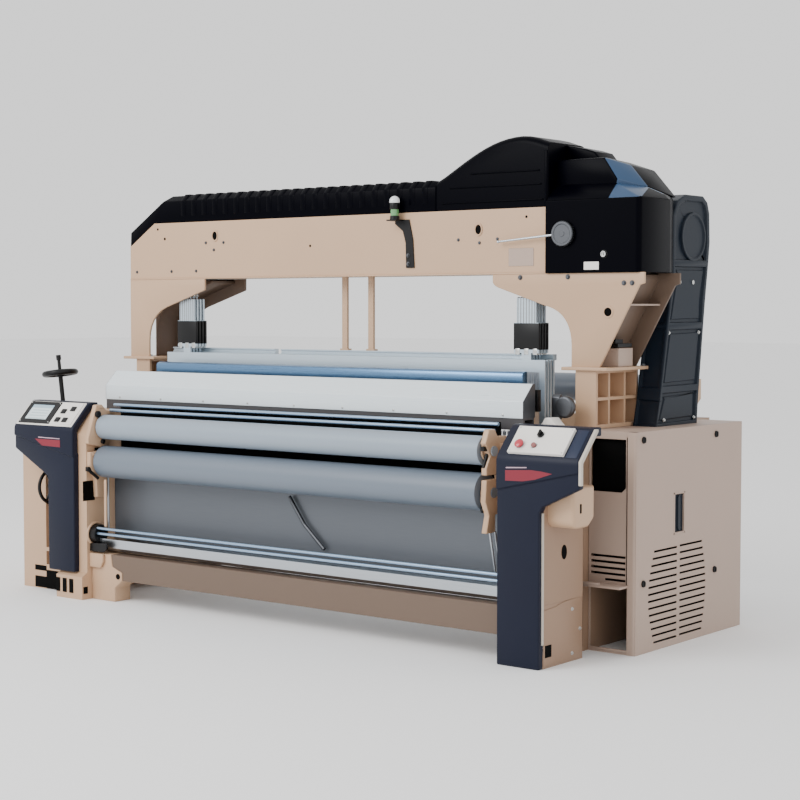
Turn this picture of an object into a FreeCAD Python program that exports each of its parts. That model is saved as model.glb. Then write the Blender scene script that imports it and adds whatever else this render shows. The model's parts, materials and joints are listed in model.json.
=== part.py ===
import FreeCAD, Part
import math
import os

import Sketcher
from FreeCAD import Placement, Rotation, Vector

# A wide shuttleless weaving machine. Millimetres. X runs along the rolls,
# +Y points to the back, +Z up, and the origin is on the floor under the
# middle of the overall box.

doc = FreeCAD.newDocument("PowerLoom")
sheet = doc.addObject("Spreadsheet::Sheet", "Sizes")

# ---------------------------------------------------------------- sizes

SIZES = [
    # overall
    ("weave_width", 2415), ("left_unit", 600), ("right_unit", 545),
    ("loom_depth", 1750), ("frame_top", 950),
    # side frames and cross members
    ("frame_wide", 195), ("frame_wall", 16), ("right_gap", 145),
    ("frame_front_set", 40), ("column_deep", 290), ("foot_tall", 115),
    ("frame_rear_set", 175), ("beam_wall", 8),
    ("cross_tall", 125), ("cross_deep", 90), ("cross_lift", 110),
    # control housings
    ("skin", 5), ("slope_run", 118), ("slope_rise", 127), ("hood_lip", 863),
    ("leg_wide", 208),
    # rolls
    ("roll_set", 133), ("take_up_z", 870), ("take_up_radius", 62),
    ("cloth_z", 695), ("cloth_radius", 80), ("journal_radius", 22),
    ("bore_gap", 0.05), ("end_gap", 6), ("bracket_thick", 28),
    # weaving zone
    ("reed_set", 509), ("sley_pivot_set", 545), ("sley_pivot_z", 480),
    ("rocker_radius", 30), ("reed_top", 1190), ("heald_set", 589),
    ("heald_pitch", 22), ("heald_thick", 12), ("heald_top", 1240),
    ("lift_rod", 5),
    # warp side
    ("warp_z", 440), ("flange_radius", 370),
    ("barrel_radius", 75), ("rest_set", 185), ("rest_z", 1075),
    ("rest_radius", 70),
    # drive
    ("shaft_set", 975), ("shaft_z", 620), ("shaft_radius", 28),
    ("big_sheave", 140), ("tower_sheave", 57.5), ("motor_sheave", 55),
    ("motor_set", 1205), ("motor_z", 200), ("motor_radius", 95),
    ("top_sheave", 115), ("top_sheave_set", 1175), ("top_sheave_z", 1790),
    # right cabinet
    ("cabinet_wide", 233), ("cabinet_set", 504), ("cabinet_deep", 946),
    ("cabinet_top", 948), ("sheet_skin", 3), ("panel_thick", 20),
    # overhead beam and its legs
    ("beam_set", 565), ("beam_deep", 310), ("beam_bottom", 1622),
    ("beam_tall", 290), ("plate_steel", 12), ("arch_foot", 1215),
    ("head_wide", 474), ("cover_skin", 5),
]

for row, (alias, value) in enumerate(SIZES, start=1):
    sheet.set("A%d" % row, alias)
    sheet.set("B%d" % row, str(value))
    sheet.setAlias("B%d" % row, alias)
doc.recompute()


class Size:
    """A length: its value, and the sheet expression that gives it."""

    def __init__(self, value, text):
        self.value = float(value)
        self.text = text

    def __add__(self, other):
        return mixed(self, other, "+", lambda a, b: a + b)

    def __radd__(self, other):
        return mixed(other, self, "+", lambda a, b: a + b)

    def __sub__(self, other):
        return mixed(self, other, "-", lambda a, b: a - b)

    def __rsub__(self, other):
        return mixed(other, self, "-", lambda a, b: a - b)

    def __mul__(self, other):
        return mixed(self, other, "*", lambda a, b: a * b)

    def __rmul__(self, other):
        return mixed(other, self, "*", lambda a, b: a * b)

    def __truediv__(self, other):
        return mixed(self, other, "/", lambda a, b: a / b)

    def __neg__(self):
        return Size(-self.value, "(0 - %s)" % self.text)


def size(number):
    """Any number as a Size."""
    if isinstance(number, Size):
        return number
    return Size(number, "(%r)" % float(number) if number < 0 else "%r" % float(number))


def mixed(first, second, sign, work):
    first, second = size(first), size(second)
    text = "(%s %s %s)" % (first.text, sign, second.text)
    return Size(work(first.value, second.value), text)


def from_sheet(alias):
    return Size(sheet.get(alias), "Sizes.%s" % alias)


def bind(thing, prop, length):
    """Set a property, and tie it to the sheet."""
    thing.setExpression(prop, size(length).text)


def vec(x, y, z):
    return Vector(size(x).value, size(y).value, size(z).value)


S = {alias: from_sheet(alias) for alias, _ in SIZES}

half_wide = (S["left_unit"] + S["weave_width"] + S["right_unit"]) / 2
x_left = -half_wide
x_right = half_wide
in_left = x_left + S["left_unit"]
in_right = in_left + S["weave_width"]
y_front = -(S["loom_depth"] / 2)
y_rear = S["loom_depth"] / 2
frame_front = y_front + S["frame_front_set"]
frame_top = S["frame_top"]
left_outer = in_left - S["frame_wide"]
right_inner = in_right + S["right_gap"]
right_outer = right_inner + S["frame_wide"]
frame_rear = y_rear - S["frame_rear_set"]
warp_y = y_rear - S["flange_radius"]
rest_y = y_rear - S["rest_set"]
roll_y = y_front + S["roll_set"]
reed_y = y_front + S["reed_set"]
rocker_y = y_front + S["sley_pivot_set"]
heald_front = y_front + S["heald_set"]
beam_front = y_front + S["beam_set"]
beam_back = beam_front + S["beam_deep"]
shaft_y = y_front + S["shaft_set"]
motor_y = y_front + S["motor_set"]
top_y = y_front + S["top_sheave_set"]
cabinet_front = y_front + S["cabinet_set"]
cabinet_rear = cabinet_front + S["cabinet_deep"]

# ---------------------------------------------------------- small tools


def origin_plane(body, role):
    for feature in body.Origin.OriginFeatures:
        if feature.Role == role:
            return feature
    raise ValueError("no plane " + role)


def new_body(label):
    body = doc.addObject("PartDesign::Body", label)
    body.Label = label
    return body


# For each axis to extrude along: the sketch plane, the sign that turns a
# distance along the axis into a distance along the plane's normal.
PLANES = {"x": ("YZ_Plane", 1), "y": ("XZ_Plane", -1), "z": ("XY_Plane", 1)}


def new_sketch(body, axis, place):
    """A sketch square to an axis, at a distance along that axis."""
    role, sign = PLANES[axis]
    sketch = body.newObject("Sketcher::SketchObject", body.Name + "_sketch")
    sketch.AttachmentSupport = (origin_plane(body, role), [""])
    sketch.MapMode = "FlatFace"
    bind(sketch, "AttachmentOffset.Base.z", sign * size(place))
    return sketch


def hold_points(sketch, holds):
    """Fix sketch points to sheet distances from the origin, all at once."""
    rules = []
    lengths = []
    for index, point, across, along in holds:
        for kind, length in (("DistanceX", across), ("DistanceY", along)):
            rules.append(Sketcher.Constraint(kind, -1, 1, index, point, size(length).value))
            lengths.append(length)
    numbers = sketch.addConstraint(rules)
    for number, length in zip(numbers, lengths):
        if isinstance(length, Size):
            bind(sketch, "Constraints[%d]" % number, length)


def draw_outline(sketch, points):
    """A closed outline of straight edges through the given points."""
    start = sketch.GeometryCount
    count = len(points)
    places = [Vector(size(a).value, size(b).value, 0) for a, b in points]
    sketch.addGeometry([
        Part.LineSegment(places[i], places[(i + 1) % count]) for i in range(count)])
    sketch.addConstraint([
        Sketcher.Constraint("Coincident", start + i, 2, start + (i + 1) % count, 1)
        for i in range(count)])
    hold_points(sketch, [(start + i, 1, *point) for i, point in enumerate(points)])


def draw_circle(sketch, across, along, radius):
    middle = Vector(size(across).value, size(along).value, 0)
    number = sketch.addGeometry(Part.Circle(middle, Vector(0, 0, 1), size(radius).value))
    hold_points(sketch, [(number, 3, across, along)])
    held = sketch.addConstraint(
        Sketcher.Constraint("Radius", number, size(radius).value))
    bind(sketch, "Constraints[%d]" % held, radius)


def fill_sketch(sketch, shapes):
    for shape in shapes:
        if isinstance(shape, tuple):
            draw_circle(sketch, *shape)
        else:
            draw_outline(sketch, shape)


def pad(body, axis, low, high, *shapes):
    """Add the outlines (lists) and circles (tuples), from low to high."""
    sign = PLANES[axis][1]
    sketch = new_sketch(body, axis, low if sign > 0 else high)
    fill_sketch(sketch, shapes)
    feature = body.newObject("PartDesign::Pad", body.Name + "_pad")
    feature.Profile = sketch
    bind(feature, "Length", size(high) - low)
    body.Tip = feature
    return feature


def pocket(body, axis, low, high, *shapes):
    """Cut the outlines and circles away, from low to high."""
    sign = PLANES[axis][1]
    sketch = new_sketch(body, axis, high if sign > 0 else low)
    fill_sketch(sketch, shapes)
    feature = body.newObject("PartDesign::Pocket", body.Name + "_pocket")
    feature.Profile = sketch
    bind(feature, "Length", size(high) - low)
    body.Tip = feature
    return feature


def rect(low_a, high_a, low_b, high_b):
    return [(low_a, low_b), (high_a, low_b), (high_a, high_b), (low_a, high_b)]


def block(body, x, y, z):
    """A plain block between three pairs of limits."""
    return pad(body, "z", z[0], z[1], rect(x[0], x[1], y[0], y[1]))


def open_up(body, wall, is_open):
    """Hollow the body to an even wall, leaving off the faces picked out."""
    doc.recompute()
    base = body.Tip
    picked = []
    for number, face in enumerate(base.Shape.Faces, start=1):
        middle = face.CenterOfMass
        normal = face.normalAt(*face.Surface.parameter(middle))
        if is_open(normal, middle):
            picked.append("Face%d" % number)
    feature = body.newObject("PartDesign::Thickness", body.Name + "_shell")
    feature.Base = (base, picked)
    feature.Reversed = True
    feature.Join = 1
    bind(feature, "Value", wall)
    body.Tip = feature
    doc.recompute()
    if feature.Shape.Volume > 0.9 * base.Shape.Volume:
        raise RuntimeError(body.Label + " was not hollowed")
    return feature


def turned(body, axis, middle, stations):
    """A turned piece about a line along X or Z.

    stations are (place along the axis, radius) from one end to the other."""
    sketch = body.newObject("Sketcher::SketchObject", body.Name + "_profile")
    sketch.AttachmentSupport = (origin_plane(body, "XZ_Plane"), [""])
    sketch.MapMode = "FlatFace"
    if axis == "x":
        bind(sketch, "AttachmentOffset.Base.y", middle[1])
        bind(sketch, "AttachmentOffset.Base.z", -size(middle[0]))
    else:
        bind(sketch, "AttachmentOffset.Base.x", middle[0])
        bind(sketch, "AttachmentOffset.Base.z", -size(middle[1]))
    outline = [(stations[0][0], 0)]
    outline += stations
    outline += [(stations[-1][0], 0)]
    if axis == "z":
        outline = [(radius, place) for place, radius in outline]
    draw_outline(sketch, outline)
    feature = body.newObject("PartDesign::Revolution", body.Name + "_turned")
    feature.Profile = sketch
    feature.ReferenceAxis = (sketch, ["V_Axis" if axis == "z" else "H_Axis"])
    feature.Angle = 360
    body.Tip = feature
    return feature


def step(place, before, after):
    """Two stations that make a square shoulder."""
    return [(place, before), (place, after)]


def rod(label, low, high, radius, axis="x", across=0, along=0):
    """A plain round bar as a Part cylinder."""
    bar = doc.addObject("Part::Cylinder", label)
    bind(bar, "Radius", radius)
    bind(bar, "Height", size(high) - low)
    turn = {"x": Rotation(Vector(0, 1, 0), 90), "y": Rotation(Vector(1, 0, 0), -90),
            "z": Rotation()}[axis]
    base = {"x": vec(low, across, along), "y": vec(across, low, along),
            "z": vec(across, along, low)}[axis]
    bar.Placement = Placement(base, turn)
    return bar


def joined(label, pieces):
    """Several solids made one."""
    whole = doc.addObject("Part::MultiFuse", label)
    whole.Shapes = pieces
    whole.Refine = True
    whole.Label = label
    return whole


parts = []


def keep(thing):
    parts.append(thing)
    return thing


def cut_from(label, base, tools):
    tool = tools[0] if len(tools) == 1 else joined(label + "_tools", tools)
    cut = doc.addObject("Part::Cut", label)
    cut.Base = base
    cut.Tool = tool
    cut.Label = label
    return keep(cut)


def standing(label, thing):
    thing.Label = label
    return keep(thing)


# ------------------------------------------------------------ side frames

main_bore = S["shaft_radius"] + S["bore_gap"]
rocker_bore = S["rocker_radius"] + S["bore_gap"]
journal_bore = S["journal_radius"] + S["bore_gap"]


def frame_outline(front_low, rear_low):
    return [
        (y_front + 5, 0), (y_front + 5, S["foot_tall"]),
        (frame_front, S["foot_tall"] + 20), (frame_front, S["hood_lip"] - 30),
        (frame_front + 95, frame_top), (frame_rear - 60, frame_top),
        (frame_rear, frame_top - 130), (frame_rear, 0),
        (frame_rear - 220, 0), (frame_rear - 250, rear_low),
        (y_front + S["column_deep"] + 40, front_low),
        (y_front + S["column_deep"], 0),
    ]


def frame_bores():
    return [
        (shaft_y, S["shaft_z"], main_bore),
        (rocker_y, S["sley_pivot_z"], rocker_bore),
        (warp_y, S["warp_z"], S["barrel_radius"] - 30 + S["bore_gap"]),
    ]


left_frame = new_body("left_side_frame")
pad(left_frame, "x", left_outer, in_left, frame_outline(100, 100))
open_up(left_frame, S["frame_wall"], lambda n, c: n.x < -0.9)
pocket(left_frame, "x", in_left - 60, in_left + 1, *frame_bores())
keep(left_frame)

rear_outer = right_outer - 75
cabinet_gap = cabinet_front - 25

right_frame = new_body("right_side_frame")
pad(right_frame, "x", right_inner, right_outer, [
    (y_front + 5, 0), (frame_front, 0), (frame_front, S["hood_lip"] - 30),
    (frame_front + 95, frame_top), (cabinet_gap, frame_top), (cabinet_gap, 0)])
pad(right_frame, "x", right_inner, rear_outer, rect(
    cabinet_gap - 1, frame_rear, 0, frame_top))
open_up(right_frame, S["frame_wall"], lambda n, c: n.x < -0.9)
pocket(right_frame, "x", rear_outer - 40, rear_outer + 1, *frame_bores())
pocket(right_frame, "x", right_outer - 40, right_outer + 1,
       (-671, 451, 22), rect(-850, -800, 60, 110))
keep(right_frame)

# ---------------------------------------------------------- cross members


def hollow_bar(label, low, high, y, z):
    """A box-section cross member between the side frames."""
    bar = new_body(label)
    pad(bar, "x", low, high, rect(y[0], y[1], z[0], z[1]))
    pocket(bar, "x", low, high, rect(
        y[0] + S["beam_wall"], y[1] - S["beam_wall"],
        z[0] + S["beam_wall"], z[1] - S["beam_wall"]))
    return keep(bar)


cross_top = S["cross_lift"] + S["cross_tall"]
hollow_bar("front_crossbeam", in_left, right_inner,
           (y_front + 75, y_front + 75 + S["cross_deep"]), (S["cross_lift"], cross_top))
hollow_bar("rear_crossbeam", in_left, right_inner,
           (frame_rear - 150, frame_rear - 70), (frame_top - 75, frame_top))

# --------------------------------------------------------- end enclosures

column_right = x_left + 180
cabinet_left_top = 745
wheel_notch = y_front + 265

left_cabinet = new_body("left_cabinet_shell")
pad(left_cabinet, "z", 0, cabinet_left_top, [
    (x_left, y_front + 130), (column_right, y_front + 130),
    (column_right, wheel_notch), (left_outer, wheel_notch),
    (left_outer, motor_y), (x_left, motor_y)])
open_up(left_cabinet, S["sheet_skin"], lambda n, c: n.x > 0.9 and c.x > left_outer.value - 1)
for low, high in ((100, 130), (200, 220)):
    block(left_cabinet, (column_right - 1, left_outer - 65),
          (y_front + 130, wheel_notch + 1), (low, high))
side_wheel_y = y_front + 155
side_wheel_z = 540
pocket(left_cabinet, "x", column_right - 10, column_right + 1,
       (side_wheel_y, side_wheel_z, 12 + S["bore_gap"]))
wheel_lean = -8
wheel_turn = Rotation(Vector(0, 1, 0), wheel_lean)
wheel_foot = vec(x_left + 187, y_front + 275, cabinet_left_top)
top_bore = doc.addObject("Part::Cylinder", "top_bore")
bind(top_bore, "Radius", 12 + S["bore_gap"])
top_bore.Height = 80
top_bore.Placement = Placement(
    wheel_foot - wheel_turn.multVec(Vector(0, 0, 40)), wheel_turn)
cut_from("left_end_cabinet", left_cabinet, [top_bore])

cabinet_out = right_outer - 75 + S["cabinet_wide"]
cabinet_in = right_outer - 75
cabinet = new_body("right_cabinet_shell")
block(cabinet, (cabinet_in, cabinet_out - S["panel_thick"]), (cabinet_front, cabinet_rear),
      (0, S["cabinet_top"]))
open_up(cabinet, S["sheet_skin"], lambda n, c: abs(n.x) > 0.9 or n.z < -0.9)
pocket(cabinet, "y", cabinet_front - 1, cabinet_front + S["sheet_skin"] + 1,
       [(cabinet_in + 10, 690), (cabinet_out - 70, 690), (cabinet_out - 50, 710),
        (cabinet_out - 50, 915), (cabinet_in + 10, 915)],
       rect(cabinet_in + 10, cabinet_out - 40, 20, 285),
       *[rect(cabinet_in + 12 + (70 if slot == 0 else 0), cabinet_out - 50,
              310 + 25 * slot, 320 + 25 * slot) for slot in range(5)])
tower_in = cabinet_in + 9
tower_out = tower_in + 118
pocket(cabinet, "z", S["cabinet_top"] - 10, S["cabinet_top"] + 1,
       rect(tower_in + 10, tower_out - 10, beam_back + 5, top_y + 20))
keep(cabinet)

panel = new_body("right_side_panel")
pad(panel, "x", cabinet_out - S["panel_thick"], cabinet_out, rect(
    cabinet_front, cabinet_rear, 0, S["cabinet_top"]))
open_up(panel, S["sheet_skin"], lambda n, c: n.x < -0.9)
grille_mid = cabinet_front + 362
slots = []
slot_count = 14
for slot in range(slot_count):
    low = 31 + 30.2 * slot
    swell = math.sin(math.pi * (slot + 0.5) / slot_count)
    slots.append(rect(grille_mid - 203 - 54 * swell, grille_mid - 10, low, low + 9))
    slots.append(rect(grille_mid + 13, grille_mid + 209 + 40 * swell, low + 3, low + 12))
pocket(panel, "x", cabinet_out - S["sheet_skin"] - 1, cabinet_out + 1, *slots)
pad(panel, "x", cabinet_out - S["panel_thick"] + 2, cabinet_out - S["sheet_skin"] + 1,
    rect(grille_mid - 41, grille_mid + 59, 485, 667))
pocket(panel, "x", cabinet_out - S["panel_thick"] + 5, cabinet_out + 1,
       rect(grille_mid - 31, grille_mid + 49, 493, 659))
keep(panel)

knobs = new_body("side_panel_knobs")
pad(knobs, "x", cabinet_out, cabinet_out + 12,
    *[(cabinet_front + set_back, z, 14)
      for set_back, z in ((58, 913), (697, 903), (62, 301), (691, 290))])
keep(knobs)

# -------------------------------------------------------- control housings

slope_back = y_front + S["slope_run"]
hood_top = S["hood_lip"] + S["slope_rise"]


def hood_profile():
    """Side view of a housing: an upright front with a sloped top."""
    return [
        (y_front, 0), (y_front, S["hood_lip"]), (slope_back, hood_top),
        (slope_back + 60, hood_top), (slope_back + 60, frame_top),
        (frame_front + 95, frame_top), (frame_front, S["hood_lip"] - 30),
        (frame_front, 0)]


def hood_inside(low):
    """The hollow behind a housing's skin, from a height upwards."""
    skin = S["skin"]
    return [
        (y_front + skin, low), (y_front + skin, S["hood_lip"] - 2),
        (slope_back + 2, hood_top - skin), (slope_back + 60 - skin, hood_top - skin),
        (slope_back + 60 - skin, low)]


def housing(label, outline, low, high, leg, foot):
    """A moulded cover, cut from the side view and then from the front view."""
    skin = S["skin"]
    body = new_body(label)
    pad(body, "x", low, high, hood_profile())
    pocket(body, "y", y_front - 1, slope_back + 61, outline)
    if foot is not None:
        pocket(body, "z", -1, foot, rect(low - 1, high + 1, y_front - 1, frame_front + 1))
    pocket(body, "x", low + skin, high - skin, hood_inside(770))
    pocket(body, "x", leg[0] + skin, leg[1] - skin, rect(
        y_front + skin, slope_back, -2, 771))
    return keep(body)


left_leg = in_left - 258
hood_left = left_leg - 255
left_hood_right = in_left - 60
housing("left_control_housing", [
    (hood_left - 1, -1), (hood_left - 1, 745), (left_leg, 612), (left_leg, -1)],
    hood_left, left_hood_right, (left_leg, left_hood_right), S["foot_tall"] + 20)

right_leg = right_inner - 13
right_leg_out = right_leg + S["leg_wide"]
housing("right_control_housing", [
    (right_leg_out, -1), (right_leg_out, 640), (right_leg_out + 12, 666),
    (x_right + 1, 756), (x_right + 1, -1)],
    right_leg, x_right, (right_leg, right_leg_out), None)

slope_angle = math.degrees(math.atan2(S["slope_rise"].value, S["slope_run"].value))
slope_turn = Rotation(Vector(1, 0, 0), slope_angle)


def on_slope(x, up, out):
    """A point on a housing's sloped face: up the slope, and out of it."""
    lip = Vector(0, y_front.value, S["hood_lip"].value)
    return Vector(x, 0, 0) + lip + slope_turn.multVec(Vector(0, up, out))


def slope_box(label, low, high, up_low, up_high, out_low, out_high):
    box = doc.addObject("Part::Box", label)
    bind(box, "Length", size(high) - low)
    bind(box, "Width", size(up_high) - up_low)
    bind(box, "Height", size(out_high) - out_low)
    box.Placement = Placement(
        on_slope(size(low).value, size(up_low).value, size(out_low).value), slope_turn)
    return box


def slope_peg(label, x, up, radius, out_low, out_high):
    peg = doc.addObject("Part::Cylinder", label)
    bind(peg, "Radius", radius)
    bind(peg, "Height", size(out_high) - out_low)
    peg.Placement = Placement(on_slope(size(x).value, up, size(out_low).value), slope_turn)
    return peg


key_gap = 0.5
screen_low = hood_left + 30
screen_high = hood_left + 265
screen = slope_box("screen_blank", screen_low, screen_high, 18, 158, 0, 10)
screen_pocket = slope_box("screen_pocket", screen_low + 30, screen_high - 40, 42, 138, 7, 12)
cut_from("display_screen", screen, [screen_pocket])

keypad_low = screen_high + 6
keypad_high = left_hood_right - 22
key_places = [(45, 45), (52, 100), (100, 45), (112, 118)]
key_pad = slope_box("keypad_blank", keypad_low, keypad_high, 18, 158, 0, 9)
key_wells = [
    slope_box("key_well_%d" % number, keypad_low + across - 14 - key_gap,
              keypad_low + across + 14 + key_gap, up - 11 - key_gap, up + 11 + key_gap, 4, 10)
    for number, (across, up) in enumerate(key_places, start=1)]
cut_from("keypad_plate", key_pad, key_wells)
for number, (across, up) in enumerate(key_places, start=1):
    standing("keypad_key_%d" % number, slope_box(
        "key_%d" % number, keypad_low + across - 14, keypad_low + across + 14,
        up - 11, up + 11, 5.5, 13))

plate_low = right_leg + 54
plate_high = plate_low + 270
button_up = 55
stop_x = plate_low + 48
start_x = plate_low + 117
select_x = plate_low + 124
select_up = 112
button_blank = slope_box("button_blank", plate_low, plate_high, 18, 155, 0, 14)
wells = [slope_peg("stop_well", stop_x, button_up, 14 + key_gap, 5, 15),
         slope_peg("start_well", start_x, button_up, 11 + key_gap, 5, 15)]
cut_from("button_plate", button_blank, wells)
standing("stop_button", joined("stop_solid", [
    slope_peg("stop_stem", stop_x, button_up, 14, 10, 25),
    slope_peg("stop_cap", stop_x, button_up, 20, 20, 34)]))
standing("start_button", slope_peg("start_solid", start_x, button_up, 11, 10, 26))
standing("selector_knob", joined("selector_solid", [
    slope_peg("selector_base", select_x, select_up, 14, 14.3, 22),
    slope_box("selector_bar", select_x - 4, select_x + 4, select_up - 14, select_up + 14,
              21, 34)]))

gear_case = new_body("gear_housing")
pad(gear_case, "x", right_outer, x_right - 80, [
    (y_front + 70, 600), (y_front + 95, 575), (y_front + 190, 575), (y_front + 235, 610),
    (y_front + 235, 745), (y_front + 70, 745)])
pocket(gear_case, "x", x_right - 88, x_right - 79, rect(
    y_front + 120, y_front + 132, 640, 675))
keep(gear_case)

# ------------------------------------------------------ front of the loom

cloth_low = in_left + 30
cloth_high = in_right - 15

breast = new_body("breast_cover")
cover_front = y_front + 288
breast_left = left_outer + 70
breast_right = right_inner - 75
skin = S["sheet_skin"]
pad(breast, "x", breast_left, breast_right, [
    (cover_front, 1000), (cover_front, 1072), (cover_front + 72, 1145),
    (cover_front + 90, 1145), (cover_front + 90, 1145 - skin),
    (cover_front + 73, 1145 - skin), (cover_front + skin, 1071),
    (cover_front + skin, 1000 + skin), (cover_front + 60, 1000 + skin),
    (cover_front + 60, 1000)])
keep(breast)

breast_beam = new_body("breast_beam")
pad(breast_beam, "x", breast_left, breast_right, rect(
    cover_front + 4, cover_front + 84, frame_top, 1000))
pocket(breast_beam, "x", breast_left, breast_right, rect(
    cover_front + 12, cover_front + 76, frame_top + 8, 992))
keep(breast_beam)

sheet_y = roll_y + 70
front_sheet = new_body("front_sheet")
pad(front_sheet, "x", cloth_low, in_right, [
    (sheet_y, 300), (sheet_y, 610), (sheet_y + 45, 655), (sheet_y + 45 + skin, 655),
    (sheet_y + skin, 609), (sheet_y + skin, 300)])
keep(front_sheet)

trough = new_body("drip_trough")
pad(trough, "x", in_left, right_inner, [
    (frame_front + 45, 310), (frame_front + 55, 265), (frame_front + 85, 245),
    (sheet_y + 30, 245), (sheet_y + 30, 299.7), (sheet_y + 27, 299.7), (sheet_y + 27, 248),
    (frame_front + 86, 248), (frame_front + 58, 267), (frame_front + 48, 310)])
keep(trough)

rails = joined("guard_rails", [
    rod("rail_low", in_left, right_inner, 7, "x", frame_front + 34, 335),
    rod("rail_high", in_left, right_inner, 7, "x", frame_front + 34, 362)])
keep(rails)

spreader_y = roll_y + 52
keep(joined("spreader_bars", [
    rod("bar_low", cloth_low - 2, cloth_high + 15, 8, "x", spreader_y - 6, 952),
    rod("bar_high", cloth_low - 2, cloth_high + 15, 8, "x", spreader_y + 22, 978)]))


def roll_bracket(label, low, high, reach):
    """A cast arm with the two roll bearings, fixed to a side frame."""
    arm = new_body(label)
    pad(arm, "x", low, high, [
        (roll_y - 66, 575), (roll_y + 66, 575), (frame_front + 190, 640),
        (frame_front + 190, 990), (roll_y + 30, 995), (roll_y - 30, 940),
        (roll_y - 76, 860), (roll_y - 104, 700)])
    pocket(arm, "x", low - 1, high + 1, (roll_y, S["take_up_z"], journal_bore),
           (roll_y, S["cloth_z"], journal_bore),
           [(roll_y + 36, 730), (roll_y + 75, 730), (roll_y + 75, 860), (roll_y + 52, 860)])
    if reach is not None:
        pad(arm, "x", high - 1, reach, rect(
            frame_front + 150, frame_front + 189, 660, 940))
    return keep(arm)


roll_bracket("left_roll_bracket", in_left, cloth_low - 2, None)
roll_bracket("right_roll_bracket", cloth_high + 15, cloth_high + 15 + S["bracket_thick"],
             right_inner)


def roller(label, low, high, middle, radius, ends):
    """A roll with a journal at each end."""
    roll = new_body(label)
    journal = S["journal_radius"]
    turned(roll, "x", middle, [
        (ends[0], journal), *step(low, journal, radius), *step(high, radius, journal),
        (ends[1], journal)])
    return keep(roll)


roll_ends = (in_left + 4, cloth_high + 15 + S["bracket_thick"] + 6)
roller("take_up_roll", cloth_low + S["end_gap"], cloth_high, (roll_y, S["take_up_z"]),
       S["take_up_radius"], roll_ends)
roller("cloth_roll", cloth_low + S["end_gap"], cloth_high, (roll_y, S["cloth_z"]),
       S["cloth_radius"], roll_ends)

# ------------------------------------------------------------ weaving zone

sley = new_body("sley")
rocker_z = S["sley_pivot_z"]
turned(sley, "x", (rocker_y, rocker_z), [
    (in_left - 14, S["rocker_radius"]), (rear_outer - 2, S["rocker_radius"])])
for sword in (in_left + 60, in_left + 1185, in_right - 105):
    pad(sley, "x", sword, sword + 28, [
        (rocker_y - 50, rocker_z - 50), (rocker_y + 33, rocker_z - 50),
        (rocker_y + 28, 700), (reed_y + 30, 981), (reed_y - 40, 981), (rocker_y - 50, 700)])
pad(sley, "x", in_left + 40, in_right - 55, rect(reed_y - 45, reed_y + 40, 980, 1060))
pocket(sley, "x", in_left + 50, in_right - 65, rect(reed_y - 6, reed_y + 6, 1040, 1061))
keep(sley)

reed = new_body("reed")
reed_low = in_left + 50
reed_high = in_right - 65
pad(reed, "x", reed_low, reed_high, rect(reed_y - 6, reed_y + 6, 1040, S["reed_top"]))
pocket(reed, "x", reed_low + 12, reed_high - 12, rect(
    reed_y - 7, reed_y - 2.5, 1062, S["reed_top"] - 24), rect(
    reed_y + 2.5, reed_y + 7, 1062, S["reed_top"] - 24))
keep(reed)

lift_rod_low = in_left + 165
lift_rod_high = in_right - 120
heald_low = in_left + 20
heald_high = in_right - 20
beam_bottom = S["beam_bottom"]
for number in range(1, 5):
    across = heald_front + S["heald_pitch"] * (number - 1)
    back = across + S["heald_thick"]
    top = S["heald_top"]
    frame = new_body("heald_frame_%d" % number)
    pad(frame, "y", across, back, rect(heald_low, heald_high, 560, top))
    pocket(frame, "y", across - 1, back + 1, rect(
        heald_low + 30, heald_high - 30, 620, top - 55))
    mid = across + S["heald_thick"] / 2
    for place in (lift_rod_low, lift_rod_high):
        pad(frame, "y", across, back, [
            (place - 25, top - 1), (place + 25, top - 1), (place + 25, top + 30),
            (place + 66, top + 30), (place + 66, top + 165), (place + 52, top + 165),
            (place + 52, top + 275), (place - 52, top + 275), (place - 52, top + 165),
            (place - 66, top + 165), (place - 66, top + 30), (place - 25, top + 30)])
        pad(frame, "z", top + 274, beam_bottom + 120, (place, mid, S["lift_rod"]))
    keep(frame)

# ------------------------------------------------------------------- warp

beam_low = in_left + 135
beam_high = in_right - 135
warp_z = S["warp_z"]
warp_journal = S["barrel_radius"] - 30
warp = new_body("warp_beam")
barrel = S["barrel_radius"]
flange = S["flange_radius"]
turned(warp, "x", (warp_y, warp_z), [
    (in_left - 14, warp_journal), *step(beam_low, warp_journal, flange),
    *step(beam_low + 12, flange, barrel), *step(beam_high - 12, barrel, flange),
    *step(beam_high, flange, warp_journal), (rear_outer - 2, warp_journal)])
keep(warp)

rest_z = S["rest_z"]
rest_brackets = new_body("back_rest_brackets")
for low in (in_left - 60, right_inner + 4):
    pad(rest_brackets, "x", low, low + 40, [
        (rest_y - 170, frame_top), (rest_y - 55, frame_top), (rest_y + 60, rest_z - 40),
        (rest_y + 60, rest_z + 55), (rest_y - 60, rest_z + 55), (rest_y - 90, rest_z)])
pocket(rest_brackets, "x", in_left - 61, right_inner + 45, (rest_y, rest_z, journal_bore))
keep(rest_brackets)
roller("back_rest_roll", in_left - 20 + S["end_gap"], right_inner - S["end_gap"],
       (rest_y, rest_z), S["rest_radius"], (in_left - 55, right_inner + 40))

# ------------------------------------------------------------------- drive

crank_places = (in_left + 30, in_right - 45)
shaft_z = S["shaft_z"]
shaft = new_body("main_shaft")
line = S["shaft_radius"]
turned(shaft, "x", (shaft_y, shaft_z), [
    (in_left - 14, line), *step(tower_in + 20, line, S["tower_sheave"]),
    *step(tower_in + 62, S["tower_sheave"], S["big_sheave"]),
    *step(tower_in + 105, S["big_sheave"], line), (tower_in + 125, line)])
for place in crank_places:
    pad(shaft, "x", place, place + 22, (shaft_y - 30, shaft_z, 62))
keep(shaft)

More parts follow.
